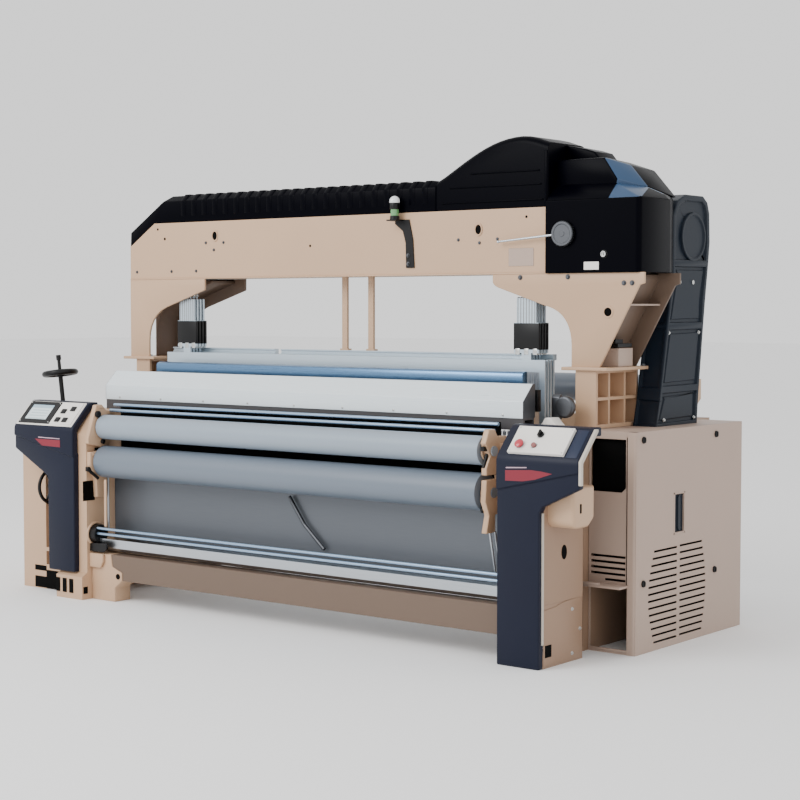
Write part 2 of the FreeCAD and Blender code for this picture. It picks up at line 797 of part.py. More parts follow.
motor_z = S["motor_z"]
motor_face = tower_in + 108
motor = new_body("main_motor")
motor_bore = 14 + S["bore_gap"]
turned(motor, "x", (motor_y, motor_z), [
    (motor_face, S["motor_radius"]), (cabinet_out - S["panel_thick"] - 4, S["motor_radius"])])
pad(motor, "x", motor_face + 4, cabinet_out - S["panel_thick"] - 8, rect(
    motor_y - 85, motor_y + 85, 70, motor_z - 60))
pad(motor, "x", cabinet_in, cabinet_out - S["panel_thick"] - 8, rect(
    motor_y - 85, motor_y + 85, 60, 75))
pocket(motor, "x", motor_face - 1, motor_face + 40, (motor_y, motor_z, motor_bore))
keep(motor)

motor_pulley = new_body("motor_pulley")
turned(motor_pulley, "x", (motor_y, motor_z), [
    (tower_in + 62, S["motor_sheave"]), *step(tower_in + 105, S["motor_sheave"], 14),
    (motor_face + 38, 14)])
keep(motor_pulley)

tower_foot = S["cabinet_top"]
tower_top = 1977
tower = new_body("tower_cover")
head_rear = beam_back + 112
pad(tower, "x", tower_in, tower_out, [
    (beam_back - 25, tower_foot), (beam_back + 8, tower_foot + 127),
    (head_rear, beam_bottom), (head_rear, tower_top - 97), (top_y - 77, tower_top),
    (top_y + 93, tower_top), (top_y + 142, tower_top - 57), (top_y + 151, tower_top - 207),
    (top_y + 140, tower_top - 297), (top_y + 112, tower_top - 477),
    (top_y + 52, tower_foot + 127), (top_y + 40, tower_foot)])
open_up(tower, S["cover_skin"], lambda n, c: n.z < -0.9)
top_z = S["top_sheave_z"]
pad(tower, "x", tower_in - 40, tower_in + 1, (top_y, top_z, 45))
pocket(tower, "x", tower_in - 41, tower_in + S["cover_skin"] + 1,
       (top_y, top_z, 14 + S["bore_gap"]))
keep(tower)

top_pulley = new_body("shedding_pulley")
turned(top_pulley, "x", (top_y, top_z), [
    (tower_in - 36, 14), *step(tower_in + 20, 14, S["top_sheave"]),
    (tower_in + 62, S["top_sheave"])])
keep(top_pulley)

# ------------------------------------------------------------ overhead beam

beam_top = beam_bottom + S["beam_tall"]
leg_out_left = left_outer - 35
head_left = right_inner - 140
wall = S["plate_steel"]

beam = new_body("overhead_beam")
beam_outline = [
    (leg_out_left, beam_bottom), (head_left, beam_bottom), (head_left, beam_top),
    (leg_out_left + 184, beam_top), (leg_out_left, beam_top - 118)]
pad(beam, "y", beam_front, beam_back, beam_outline)
open_up(beam, 8, lambda n, c: n.x > 0.9)
heald_rear = heald_front + S["heald_pitch"] * 4
heald_middles = [
    heald_front + S["heald_pitch"] * number + S["heald_thick"] / 2
    for number in range(4)]
pocket(beam, "z", beam_bottom - 1, beam_bottom + 9, *[
    (place, middle, S["lift_rod"] + 0.5)
    for place in (lift_rod_low, lift_rod_high) for middle in heald_middles])
for place, height in ((in_left + 396, 1837), (in_right - 365, 1823)):
    pocket(beam, "y", beam_front - 1, beam_front + 9, (place, height, 20))
keep(beam)

beam_cover = new_body("beam_cover")
hump_left = head_left - 614
pad(beam_cover, "y", beam_front, beam_back, [
    (leg_out_left, beam_top - 117.5), (leg_out_left + 184, beam_top + 0.3),
    (hump_left, beam_top + 0.3), (hump_left, beam_top + 140),
    (leg_out_left + 293, beam_top + 140), (leg_out_left + 3, beam_top - 44)])
pocket(beam_cover, "x", leg_out_left, hump_left + 1, [
    (beam_front - 1, beam_top + 112), (beam_front + 26, beam_top + 141),
    (beam_front - 1, beam_top + 141)])
open_up(beam_cover, S["cover_skin"], lambda n, c: n.z < -0.4)
keep(beam_cover)

hump = new_body("hump_cover")
head_top = 2128
pad(hump, "y", beam_front + 5, beam_back, [
    (hump_left, beam_top + 0.3), (hump_left, beam_top + 140), (hump_left + 74, 2089),
    (hump_left + 159, 2139), (hump_left + 270, 2196), (hump_left + 379, 2225),
    (hump_left + 460, 2231), (hump_left + 540, 2219), (head_left, 2190),
    (head_left, beam_top + 0.3)])
open_up(hump, S["cover_skin"], lambda n, c: n.z < -0.9)
keep(hump)

head = new_body("drive_head_cover")
head_right = head_left + S["head_wide"]
pad(head, "y", beam_front - 15, head_rear, [
    (head_left, beam_bottom), (head_left, head_top), (head_left + 191, head_top),
    (head_left + 322, 2088), (head_left + 408, 1990), (head_right, 1940),
    (head_right, beam_bottom)])
pocket(head, "x", head_left - 1, head_right + 1, [
    (beam_front - 16, 1936), (beam_front + 60, 2005), (beam_front + 62, 2110),
    (beam_front + 100, head_top + 1), (beam_front - 16, head_top + 1)])
pocket(head, "z", beam_bottom - 1, head_top + 1, [
    (head_right + 1, beam_back - 70), (head_right + 1, head_rear + 1),
    (tower_out, head_rear + 1), (tower_out, head_rear), (head_right, beam_back - 71)])
open_up(head, S["cover_skin"], lambda n, c: n.z < -0.9)
lever_x = head_left + 97
lever_z = beam_bottom + 169
lock_x = head_right - 175
lock_z = beam_bottom + 78
pocket(head, "y", beam_front - 16, beam_front - 4, (lever_x, lever_z, 10 + S["bore_gap"]),
       (lock_x, lock_z, 8 + S["bore_gap"]))
keep(head)


foot_z = S["arch_foot"]


def upright(label, outline, web):
    """A leg of the arch: two gusset plates joined by a web and a foot.

    Both outlines start with the two points that stand on the foot."""
    leg = new_body(label)
    pad(leg, "y", beam_front - 3, beam_front - 3 + wall, outline)
    pad(leg, "y", beam_back - wall, beam_back, outline)
    pad(leg, "y", beam_front, beam_back - 1, web)
    block(leg, (outline[0][0] - 45, outline[1][0] + 45), (beam_front - 15, beam_back + 25),
          (foot_z - 15, foot_z))
    return keep(leg)


inner_left = leg_out_left + 141
left_curve = [
    (inner_left, beam_bottom - 294), (leg_out_left + 166, beam_bottom - 215)]
upright("left_upright", [
    (leg_out_left, foot_z - 1), (inner_left, foot_z - 1), *left_curve,
    (leg_out_left + 243, beam_bottom - 157), (leg_out_left + 552, beam_bottom - 60),
    (leg_out_left + 553, beam_bottom), (leg_out_left, beam_bottom)], [
    (inner_left - wall, foot_z - 1), (inner_left, foot_z - 1), *left_curve,
    (leg_out_left + 155, beam_bottom - 207), (inner_left - wall, beam_bottom - 290)])

inner_right = head_left + 130
right_edge = [
    (head_left + 272, foot_z - 1), (head_left + 467, beam_bottom - 55)]
upright("right_upright", [
    (inner_right, foot_z - 1), *right_edge, (head_left + 491, beam_bottom - 47),
    (head_left + 491, beam_bottom), (head_left - 290, beam_bottom),
    (head_left - 290, beam_bottom - 40), (inner_right - 389, beam_bottom - 62),
    (inner_right - 147, beam_bottom - 139), (inner_right - 69, beam_bottom - 156),
    (inner_right - 27, foot_z + 203), (inner_right, foot_z + 125)], [
    (head_left + 272 - wall, foot_z - 1), *right_edge,
    (head_left + 467 - wall, beam_bottom - 55)])


def pedestal(label, low, high):
    """A ribbed casting between a side frame and an upright's foot."""
    stand = new_body(label)
    front = beam_front
    back = beam_back + 40
    foot = foot_z - 15
    block(stand, (low, high), (front, back), (frame_top, foot))
    recesses = []
    for start, end in ((front + 14, front + 100), (front + 114, front + 230),
                       (front + 244, back - 14)):
        for bottom, top in ((frame_top + 16, frame_top + 120), (frame_top + 134, foot - 12)):
            recesses.append(rect(start, end, bottom, top))
    pocket(stand, "x", low + 25, high + 1, *recesses)
    return keep(stand)


pedestal("left_pedestal", left_outer + 5, left_outer + 105)
pedestal("right_pedestal", right_inner + 10, right_inner + 115)

guides = new_body("heald_guides")
guide_y = heald_rear + 10
for place in (in_left + 1156, in_left + 1321):
    pad(guides, "z", 1265, beam_bottom, rect(place - 16, place + 16, guide_y, guide_y + 14))
    pad(guides, "z", 1264, 1272, rect(place - 26, place + 26, guide_y - 4, guide_y + 22))
keep(guides)

# ------------------------------------------------------- lamp, lever, lock

lamp_x = head_left - 826
bracket = new_body("lamp_bracket")
pad(bracket, "y", beam_front - 6, beam_front, [
    (lamp_x + 45, beam_bottom + 34), (lamp_x + 92, beam_bottom + 34),
    (lamp_x + 84, beam_bottom + 165), (lamp_x + 62, beam_bottom + 258),
    (lamp_x - 20, beam_bottom + 258), (lamp_x - 20, beam_bottom + 240),
    (lamp_x + 26, beam_bottom + 205), (lamp_x + 42, beam_bottom + 150)])
pad(bracket, "z", beam_bottom + 252, beam_bottom + 258, rect(
    lamp_x - 28, lamp_x + 28, beam_front - 62, beam_front - 5))
keep(bracket)

lamp = new_body("signal_lamp")
lamp_foot = beam_bottom + 258
turned(lamp, "z", (lamp_x, beam_front - 34), [
    (lamp_foot, 24), *step(lamp_foot + 18, 24, 20), *step(lamp_foot + 78, 20, 25),
    (lamp_foot + 96, 25), (lamp_foot + 110, 16)])
keep(lamp)

head_front = beam_front - 15
lever_rod = doc.addObject("Part::Cylinder", "lever_rod")
lever_rod.Radius = 5
lever_rod.Height = 345
lever_rod.Placement = Placement(
    vec(lever_x, head_front - 12, lever_z), Rotation(Vector(0, 1, 0), -94.5))
keep(joined("shed_lever", [
    rod("lever_disc", head_front - 22, head_front - 0.3, 57, "y", lever_x, lever_z),
    rod("lever_pin", head_front - 1, head_front + 30, 10, "y", lever_x, lever_z),
    lever_rod]))
keep(joined("cover_lock", [
    rod("lock_face", head_front - 8, head_front - 0.3, 13, "y", lock_x, lock_z),
    rod("lock_barrel", head_front - 1, head_front + 26, 8, "y", lock_x, lock_z)]))

# -------------------------------------------------------------- hand wheels

side_wheel_x = column_right + 25


def wheel_solids(name, ring, grip, hub, spoke):
    """A rim, a hub and three spokes about the origin, square to Z."""
    rim = doc.addObject("Part::Torus", name + "_rim")
    rim.Radius1 = ring
    rim.Radius2 = grip
    middle = doc.addObject("Part::Cylinder", name + "_hub")
    middle.Radius = hub
    middle.Height = 2 * grip + 10
    middle.Placement.Base = Vector(0, 0, -grip - 5)
    solids = [rim, middle]
    for turn in (90, 210, 330):
        arm = doc.addObject("Part::Cylinder", "%s_spoke_%d" % (name, turn))
        arm.Radius = spoke
        arm.Height = ring
        arm.Placement = Placement(Vector(), Rotation(Vector(0, 0, 1), turn).multiply(
            Rotation(Vector(0, 1, 0), 90)))
        solids.append(arm)
    return solids


def spindle(name, radius, low, high):
    bar = doc.addObject("Part::Cylinder", name)
    bar.Radius = radius
    bar.Height = high - low
    bar.Placement.Base = Vector(0, 0, low)
    return bar


side_wheel = joined("side_handwheel", wheel_solids("side", 88, 9, 20, 6) + [
    spindle("side_spindle", 12, -50, 5)])
side_wheel.Placement = Placement(
    vec(side_wheel_x, side_wheel_y, side_wheel_z), Rotation(Vector(0, 1, 0), 90))
keep(side_wheel)

wheel_lift = 385
wheel_hub = wheel_foot + wheel_turn.multVec(Vector(0, 0, wheel_lift))
hand_wheel = joined("letoff_handwheel", wheel_solids("top", 80, 15, 24, 9) + [
    spindle("top_spindle", 12, -wheel_lift - 30, 5), spindle("top_stem", 9, 5, 72),
    spindle("top_knob", 13, 70, 96)])
hand_wheel.Placement = Placement(wheel_hub, wheel_turn)
keep(hand_wheel)

# ------------------------------------------------------------ check and save

doc.recompute()
for thing in doc.Objects:
    if "Invalid" in thing.State or "Error" in thing.State:
        raise RuntimeError(thing.Label + " did not build")

os.makedirs("parts", exist_ok=True)
for thing in parts:
    shape = thing.Shape
    if shape.isNull() or not shape.isValid() or not shape.Solids:
        raise RuntimeError(thing.Label + " has no sound shape")
for thing in parts:
    thing.Shape.exportStep("parts/%s.step" % thing.Label)
print(len(parts), "sub-parts written")
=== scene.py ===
# %% [markdown]
# # A power loom, finished in Blender
# The construction of this wide shuttleless loom comes ready made, as a frame of named parts.
# This lesson gives every part its finish, swaps the moulded covers for finer meshes, and adds
# the small things that a machine of this kind carries: ribs, bolts, louvres, clips and knobs.
# The frame is loaded first, because every piece takes its place from it.

# %% Load the frame
import json
import math

import bmesh
import bpy
from mathutils import Matrix, Vector


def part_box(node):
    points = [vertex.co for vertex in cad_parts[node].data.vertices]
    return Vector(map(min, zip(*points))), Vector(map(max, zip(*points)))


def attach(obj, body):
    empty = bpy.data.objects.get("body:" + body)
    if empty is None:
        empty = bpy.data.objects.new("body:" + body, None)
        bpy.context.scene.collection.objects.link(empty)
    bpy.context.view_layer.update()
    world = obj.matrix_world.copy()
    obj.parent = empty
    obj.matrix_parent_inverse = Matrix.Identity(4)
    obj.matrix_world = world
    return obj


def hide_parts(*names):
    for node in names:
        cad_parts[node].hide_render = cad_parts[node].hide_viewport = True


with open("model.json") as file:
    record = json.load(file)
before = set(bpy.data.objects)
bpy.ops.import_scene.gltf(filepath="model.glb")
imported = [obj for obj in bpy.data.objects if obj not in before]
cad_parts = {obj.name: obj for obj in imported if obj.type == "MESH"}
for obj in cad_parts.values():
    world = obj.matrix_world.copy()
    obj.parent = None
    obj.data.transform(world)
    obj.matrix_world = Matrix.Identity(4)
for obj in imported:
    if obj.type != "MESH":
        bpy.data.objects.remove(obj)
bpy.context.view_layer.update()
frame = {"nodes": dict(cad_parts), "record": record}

# %% [markdown]
# ## The view
# A long lens from a good distance keeps the beam and the rolls nearly straight. The camera
# stands at eye height off the drive end, and looks slightly down. An angle measured from +Y
# towards -X is what Blender calls the turn about Z, so it goes straight into the camera.

# %% Camera
EYE = Vector((5.472, -6.686, 1.470))
HEADING = math.radians(38.4)
LOOK_DOWN = math.radians(3.03)
FOCAL_MM = 78.2

camera = bpy.data.objects.new("camera", bpy.data.cameras.new("camera"))
camera.data.lens = FOCAL_MM
camera.location = EYE
camera.rotation_euler = (math.pi / 2 - LOOK_DOWN, 0, HEADING)
bpy.context.scene.collection.objects.link(camera)
bpy.context.scene.camera = camera
print("camera stands", round(EYE.length, 2), "m from the middle of the loom")

# %% [markdown]
# ## Floor and light
# A catalogue picture is lit from all round: a pale floor, a pale world, one broad lamp over the
# viewer's left shoulder and a weaker one from the drive end. Broad lamps give enamel a soft
# gradient and steel a long white streak, where a small one would only give spots.

# %% Floor, world and lamps
def pale_floor(name, half, colour):
    """A square floor with a material of its own."""
    shape = bmesh.new()
    bmesh.ops.create_grid(shape, x_segments=1, y_segments=1, size=half)
    mesh = bpy.data.meshes.new(name)
    shape.to_mesh(mesh)
    shape.free()
    floor = bpy.data.objects.new(name, mesh)
    bpy.context.scene.collection.objects.link(floor)
    plain = bpy.data.materials.new(name)
    plain.use_nodes = True
    plain.node_tree.nodes["Principled BSDF"].inputs["Base Color"].default_value = colour
    plain.node_tree.nodes["Principled BSDF"].inputs["Roughness"].default_value = 0.8
    mesh.materials.append(plain)
    return floor


def broad_lamp(name, place, aim, side, watts):
    """A square area lamp that looks at a point."""
    lamp = bpy.data.objects.new(name, bpy.data.lights.new(name, "AREA"))
    lamp.data.size = side
    lamp.data.energy = watts
    lamp.location = place
    lamp.rotation_euler = (Vector(aim) - Vector(place)).to_track_quat("-Z", "Y").to_euler()
    bpy.context.scene.collection.objects.link(lamp)
    return lamp


pale_floor("floor", 60, (0.93, 0.93, 0.93, 1))
world = bpy.data.worlds.new("studio")
world.use_nodes = True
world.node_tree.nodes["Background"].inputs["Color"].default_value = (1, 1, 1, 1)
world.node_tree.nodes["Background"].inputs["Strength"].default_value = 1.25
bpy.context.scene.world = world
broad_lamp("key_lamp", (-2.0, -7.0, 5.5), (0, 0, 1.0), 4.0, 470)
broad_lamp("side_lamp", (7.5, -3.0, 4.0), (0.5, 0, 1.0), 3.0, 25)

# %% [markdown]
# ## Writing shader maths as Python
# A finish is a small program: noise, masks and mixes. Written as nodes it takes many lines, so
# a wire object stands for one output and its operators add Math nodes. The reflected forms
# make `1 - mask` work as well. Any other node comes from one method.

# %% Wires and finishes
class Wire:
    """One output of a finish, on which arithmetic adds Math nodes."""

    def __init__(self, finish, socket):
        self.finish = finish
        self.socket = socket

    def work(self, operation, first, second):
        return self.finish.node(
            "ShaderNodeMath", {"operation": operation}, {0: first, 1: second})

    def __add__(self, other):
        return self.work("ADD", self, other)

    def __radd__(self, other):
        return self.work("ADD", other, self)

    def __sub__(self, other):
        return self.work("SUBTRACT", self, other)

    def __rsub__(self, other):
        return self.work("SUBTRACT", other, self)

    def __mul__(self, other):
        return self.work("MULTIPLY", self, other)

    def __rmul__(self, other):
        return self.work("MULTIPLY", other, self)

    def __gt__(self, other):
        return self.work("GREATER_THAN", self, other)


class Finish:
    """A material made of nodes. `node` adds one and returns the wire of an output."""

    made = {}

    def __init__(self, name, **sockets):
        self.material = bpy.data.materials.new(name)
        self.material.use_nodes = True
        self.tree = self.material.node_tree
        self.shader = self.tree.nodes["Principled BSDF"]
        self.feed(self.shader, sockets)
        self.spot = self.node("ShaderNodeTexCoord", output="Object")
        Finish.made[name] = self

    def feed(self, node, sockets):
        for key, value in sockets.items():
            if isinstance(value, Wire):
                self.tree.links.new(value.socket, node.inputs[key])
            else:
                node.inputs[key].default_value = value

    def node(self, kind, settings=None, sockets=None, output=0):
        made = self.tree.nodes.new(kind)
        for key, value in (settings or {}).items():
            setattr(made, key, value)
        self.feed(made, sockets or {})
        return Wire(self, made.outputs[output])

    def looks(self, **sockets):
        self.feed(self.shader, {key.replace("_", " "): value for key, value in sockets.items()})
        return self

    def noise(self, scale, stretch=(1, 1, 1), detail=3):
        spot = self.node("ShaderNodeMapping", None, {"Vector": self.spot, "Scale": stretch})
        return self.node("ShaderNodeTexNoise", None,
                         {"Vector": spot, "Scale": scale, "Detail": detail})

    def mix(self, first, second, share):
        return self.node("ShaderNodeMix", {"data_type": "RGBA"},
                         {0: share, 6: first, 7: second}, output=2)

    def height(self, along="Z"):
        parts = self.node("ShaderNodeSeparateXYZ", None, {"Vector": self.spot}, output=along)
        return parts

    def relief(self, height, depth, edge=0.0):
        """A bump of a depth in metres, over edges rounded to a radius."""
        sockets = {"Height": height, "Distance": depth, "Strength": 1.0}
        if edge:
            sockets["Normal"] = self.node("ShaderNodeBevel", {"samples": 4}, {"Radius": edge})
        return self.looks(Normal=self.node("ShaderNodeBump", None, sockets))


def tone(red, green, blue):
    """A display colour from 0 to 255 as the linear colour that a shader takes."""
    return (*((part / 255) ** 2.2 for part in (red, green, blue)), 1.0)


def shade(colour, gain):
    """The same colour, lighter or darker."""
    return (*(min(part * gain, 1.0) for part in colour[:3]), 1.0)


print("wires understand + - * and >")

# %% [markdown]
# ## Machine enamel
# The castings and plates are sprayed with a warm beige enamel. Close to, spray enamel has an
# orange-peel surface, a faint cloudiness where the coat is thicker, and a thin bright line on
# each edge. Three noises of different size do the first two. The rounded edge comes from the
# Bevel node, which bends the light at an edge without touching the part's mesh.

# %% Enamels
def enamel(name, colour, gloss=0.42):
    finish = Finish(name)
    cloud = finish.noise(1.7, detail=4)
    speck = finish.noise(60, detail=2)
    peel = finish.noise(420, detail=1)
    # Darker speckles towards the bottom: speckle noise mixes the coat darker, most near the floor.
    low_darkening = finish.node("ShaderNodeMapRange", None, {
        "Value": finish.height(), "From Min": 0.0, "From Max": 0.5, "To Min": 0.35, "To Max": 0.0})
    coat = finish.mix(shade(colour, 0.93), shade(colour, 1.05), cloud)
    coat = finish.mix(coat, shade(colour, 0.8), low_darkening * speck)
    finish.looks(Base_Color=coat, Roughness=gloss - 0.06 + 0.12 * cloud)
    return finish.relief(peel + 0.4 * speck, 0.0002, edge=0.003)


BEIGE = tone(192, 158, 128)
enamel("beige_enamel", BEIGE)
# A darker copy of the beige, painted shade: for the front crossbeam under the rolls and the recessed rear
# plates and webs of the uprights.
enamel("painted_shade_enamel", tone(104, 86, 73), gloss=0.5)
# A darker beige for the drive-end side frame, its side plate and access plate: painted shade on faces turned
# away from the key lamp and under the hood.
enamel("painted_shade_side_enamel", tone(150, 122, 101), gloss=0.46)
enamel("cabinet_enamel", tone(172, 150, 136), gloss=0.5)
enamel("dark_enamel", tone(70, 68, 70), gloss=0.5)
enamel("motor_enamel", tone(120, 128, 134), gloss=0.5)
print("enamels:", list(Finish.made))

# %% [markdown]
# ## Moulded covers
# The overhead cover, the control hoods and the belt guard are mouldings. The overhead ones are
# nearly black and glossy, the hoods a dark blue with a fine grain, the guard a slate grey. A
# grain is a tiny even bump, and gloss is a clear coat over a rougher base.

# %% Mouldings
def moulding(name, colour, rough, coat, grain, edge=0.004, mirror=0.5):
    finish = Finish(name, **{
        "Coat Weight": coat, "Coat Roughness": 0.12, "Specular IOR Level": mirror})
    cloud = finish.noise(2.3, detail=3)
    pits = finish.noise(650, detail=1)
    haze = finish.mix(shade(colour, 0.85), shade(colour, 1.25), cloud)
    finish.looks(Base_Color=haze, Roughness=rough - 0.05 + 0.1 * cloud)
    return finish.relief(pits, grain, edge=edge)


moulding("navy_gloss", tone(4, 5, 14), 0.34, 0.0, 0.00006, edge=0.006, mirror=0.04)
# A lighter blue for painted sheen on the dark drive head, on facets that face up and towards the drive end.
moulding("navy_painted_sheen", tone(44, 70, 100), 0.3, 0.1, 0.00006, edge=0.006, mirror=0.4)
moulding("hood_blue", tone(25, 29, 44), 0.45, 0.0, 0.00015, edge=0.005, mirror=0.2)
moulding("hood_lift", tone(34, 42, 62), 0.42, 0.0, 0.00015, mirror=0.3)
moulding("slate_guard", tone(24, 32, 42), 0.42, 0.0, 0.00015, edge=0.005, mirror=0.22)
moulding("black_plastic", tone(14, 14, 16), 0.4, 0.0, 0.0001, edge=0.002, mirror=0.3)
# A flat black for painted shade in holes, slots, openings and gaps, and for one dark seam.
moulding("painted_shade_and_seam_black", tone(6, 6, 6), 0.8, 0.0, 0.0001, mirror=0.1)
moulding("white_film", tone(226, 222, 216), 0.45, 0.1, 0.00003, edge=0.001)
moulding("pale_trim", tone(186, 178, 166), 0.45, 0.0, 0.00003, edge=0.001)
moulding("red_button", tone(178, 44, 60), 0.3, 0.5, 0.00004, edge=0.002)
moulding("brown_button", tone(140, 84, 82), 0.35, 0.3, 0.00004, edge=0.002)
moulding("red_flash", tone(118, 22, 42), 0.45, 0.0, 0.00002, edge=0)
moulding("pale_flash", tone(176, 150, 162), 0.45, 0.0, 0.00002, edge=0)
moulding("lens_white", tone(236, 238, 236), 0.2, 0.8, 0.00002, edge=0.001)
moulding("lens_green", tone(96, 150, 96), 0.2, 0.8, 0.00002, edge=0.001)
print("mouldings:", len(Finish.made), "finishes so far")

# %% [markdown]
# ## Metals
# Rolled and ground metal is brushed: its fine scratches run one way, so a highlight smears
# across them. A noise stretched a hundredfold along the grain drives both the roughness and a
# very shallow bump. Cast metal has no direction, only a coarse skin.

# %% Metals
def brushed(name, colour, rough, grain=(1, 60, 60), depth=0.00004, metallic=1.0, edge=0.0015):
    finish = Finish(name, Metallic=metallic)
    lines = finish.noise(9, stretch=grain, detail=4)
    smear = finish.noise(1.4, stretch=(1, 1, 2.5), detail=3)
    finish.looks(Base_Color=finish.mix(shade(colour, 0.86), shade(colour, 1.08), lines),
                 Roughness=rough - 0.09 + 0.1 * lines + 0.08 * smear)
    return finish.relief(lines, depth, edge=edge)


brushed("bright_cover", tone(232, 242, 248), 0.3, metallic=0.35, edge=0.003)
brushed("sheet_steel", tone(96, 100, 106), 0.4, metallic=0.6, edge=0.003)
brushed("blue_bar", tone(160, 186, 214), 0.28, metallic=0.8)
brushed("stainless", tone(196, 202, 208), 0.3)
brushed("steel", tone(168, 172, 178), 0.34)
brushed("dark_steel", tone(92, 94, 98), 0.42)
brushed("zinc", tone(205, 206, 204), 0.28, grain=(1, 1, 1))
brushed("alloy", tone(196, 210, 220), 0.38, metallic=0.7)
brushed("alloy_blue", tone(96, 132, 170), 0.28, metallic=0.7)
brushed("rib_rod", tone(150, 152, 156), 0.35, grain=(60, 60, 1))
print("metals:", len(Finish.made), "finishes so far")

# %% [markdown]
# ## Rubber rolls
# The take-up and cloth rolls are covered in grey rubber, ground true on a lathe. Grinding
# leaves fine rings, close together along the roll, and handling leaves a faint polish. The
# upper take-up roll gets a lighter copy of the rubber, painted light, and the cloth roll below
# it the darker one, painted shade.

# %% Rolls
def ground_rubber(name, colour):
    finish = Finish(name, **{"Coat Weight": 0.12, "Coat Roughness": 0.3})
    rings = finish.noise(6, stretch=(140, 1, 1), detail=2)
    polish = finish.noise(2.0, stretch=(2, 6, 6), detail=3)
    finish.looks(Base_Color=finish.mix(shade(colour, 0.92), shade(colour, 1.06), rings),
                 Roughness=0.36 + 0.12 * polish)
    return finish.relief(rings, 0.00006, edge=0.003)


ground_rubber("roll_rubber", tone(104, 114, 126))
# A lighter copy of the roll rubber for the upper take-up roll: painted light.
ground_rubber("painted_light_roll_rubber", tone(140, 152, 164))
print("roll rubber is ready")

# %% [markdown]
# ## The display
# A small operator's screen shows a pale page with a darker head line and two columns of plain
# fields. The page is drawn by masks on height and width, and it glows a little.

# %% Display page
def display(name, low, high):
    """A pale page between two corners of the screen."""
    finish = Finish(name, Roughness=0.12, **{"Emission Strength": 0.35, "Coat Weight": 0.8})
    share = [finish.node("ShaderNodeMapRange", None, {
        "Value": finish.height(axis), "From Min": low[index], "From Max": high[index]})
        for axis, index in (("X", 0), ("Z", 2))]
    head = share[1] > 0.8
    fields = (finish.node("ShaderNodeMath", {"operation": "PINGPONG"},
                          {0: share[1], 1: 0.09}) > 0.055) * (share[0] > 0.12)
    fields = fields * (1 - (share[0] > 0.88)) * (1 - head)
    page = finish.mix(tone(196, 210, 214), tone(166, 184, 190), fields)
    page = finish.mix(page, tone(120, 150, 170), head * 0.7)
    return finish.looks(Base_Color=page, Emission_Color=page)


display("screen_page", (-1.633, -0.87, 0.898), (-1.468, -0.77, 0.969))
print("finishes:", len(Finish.made))

# %% [markdown]
# ## Finishes on the ready parts
# Each part of the frame keeps its mesh and gets a material in its slots. The record names a
# slot for each part, so one table from slot to finish covers them all, and a few parts that
# share a slot but not a look are named after it.

# %% Paint the frame
SLOT_FINISH = {
    "beige_paint": "beige_enamel", "cabinet_paint": "cabinet_enamel",
    "black_plastic": "black_plastic", "blue_housing": "hood_blue", "screen": "black_plastic",
    "white_panel": "white_film", "red_plastic": "red_button", "brown_plastic": "brown_button",
    "bright_sheet": "bright_cover", "stainless": "stainless", "roll_grey": "roll_rubber",
    "machined_steel": "steel", "reed_steel": "alloy_blue", "heald_alloy": "alloy",
    "navy_cover": "navy_gloss", "slate_cover": "slate_guard", "motor_grey": "motor_enamel",
    "lamp_lens": "lens_white",
}
# The breast beam is painted dark, as painted shade in the gap under the breast cover.
NODE_FINISH = {
    "sley": "dark_enamel", "main_shaft": "dark_steel", "front_sheet": "sheet_steel",
    # The take-up roll takes the lighter rubber, painted light.
    "take_up_roll": "painted_light_roll_rubber", "guard_rails": "blue_bar", "spreader_bars": "blue_bar",
    # The front crossbeam takes the darker beige, painted shade under the rolls.
    "front_crossbeam": "painted_shade_enamel", "breast_beam": "dark_enamel",
}


def paint(piece, finish):
    piece.data.materials.clear()
    piece.data.materials.append(Finish.made[finish].material)


for part in frame["record"]["subparts"]:
    chosen = NODE_FINISH.get(part["node"], SLOT_FINISH[part["material_slot"]])
    paint(frame["nodes"][part["node"]], chosen)

# %% [markdown]
# ## Small modelling tools
# Almost every piece of a machine is a block, a plate cut to an outline, or something turned on
# a lathe. One helper makes each of them with bmesh operators, another rounds the sharp edges,
# and the last one turns the finished mesh into a piece that rides on a body of the loom.

# %% Blocks, plates and turned shapes
def block(shape, low, high):
    """A block between two corners."""
    low, high = Vector(low), Vector(high)
    size = Matrix.Diagonal((*(high - low), 1))
    made = bmesh.ops.create_cube(shape, size=1, matrix=Matrix.Translation((low + high) / 2) @ size)
    return made["verts"]


def put(axis, first, second, along):
    """A point from two coordinates square to an axis and one along it."""
    spot = [first, second]
    spot.insert("xyz".index(axis), along)
    return Vector(spot)


def plate(shape, axis, outline, low, high):
    """A closed outline square to an axis, thickened from low to high."""
    ring = [shape.verts.new(put(axis, a, b, low)) for a, b in outline]
    face = shape.faces.new(ring)
    grown = bmesh.ops.extrude_face_region(shape, geom=[face])["geom"]
    far = [part for part in grown if isinstance(part, bmesh.types.BMVert)]
    bmesh.ops.translate(shape, verts=far, vec=put(axis, 0, 0, high - low))
    return ring + far


def turned(shape, centre, axis, stations, steps=32, squash=(1, 1, 1)):
    """Stations of (distance along the axis, radius), spun once round it, and squashed if asked."""
    centre, axis = Vector(centre), Vector(axis).normalized()
    side = axis.orthogonal().normalized()
    own = bmesh.new()
    line = [own.verts.new(axis * along + side * radius) for along, radius in stations]
    edges = [own.edges.new(pair) for pair in zip(line, line[1:])]
    bmesh.ops.spin(own, geom=line + edges, cent=(0, 0, 0), axis=axis,
                   angle=math.tau, steps=steps, use_merge=True)
    bmesh.ops.remove_doubles(own, verts=own.verts, dist=1e-6)
    bmesh.ops.scale(own, vec=squash, verts=own.verts)
    bmesh.ops.translate(own, vec=centre, verts=own.verts)
    lump = bpy.data.meshes.new("turned")
    own.to_mesh(lump)
    own.free()
    shape.from_mesh(lump)
    bpy.data.meshes.remove(lump)


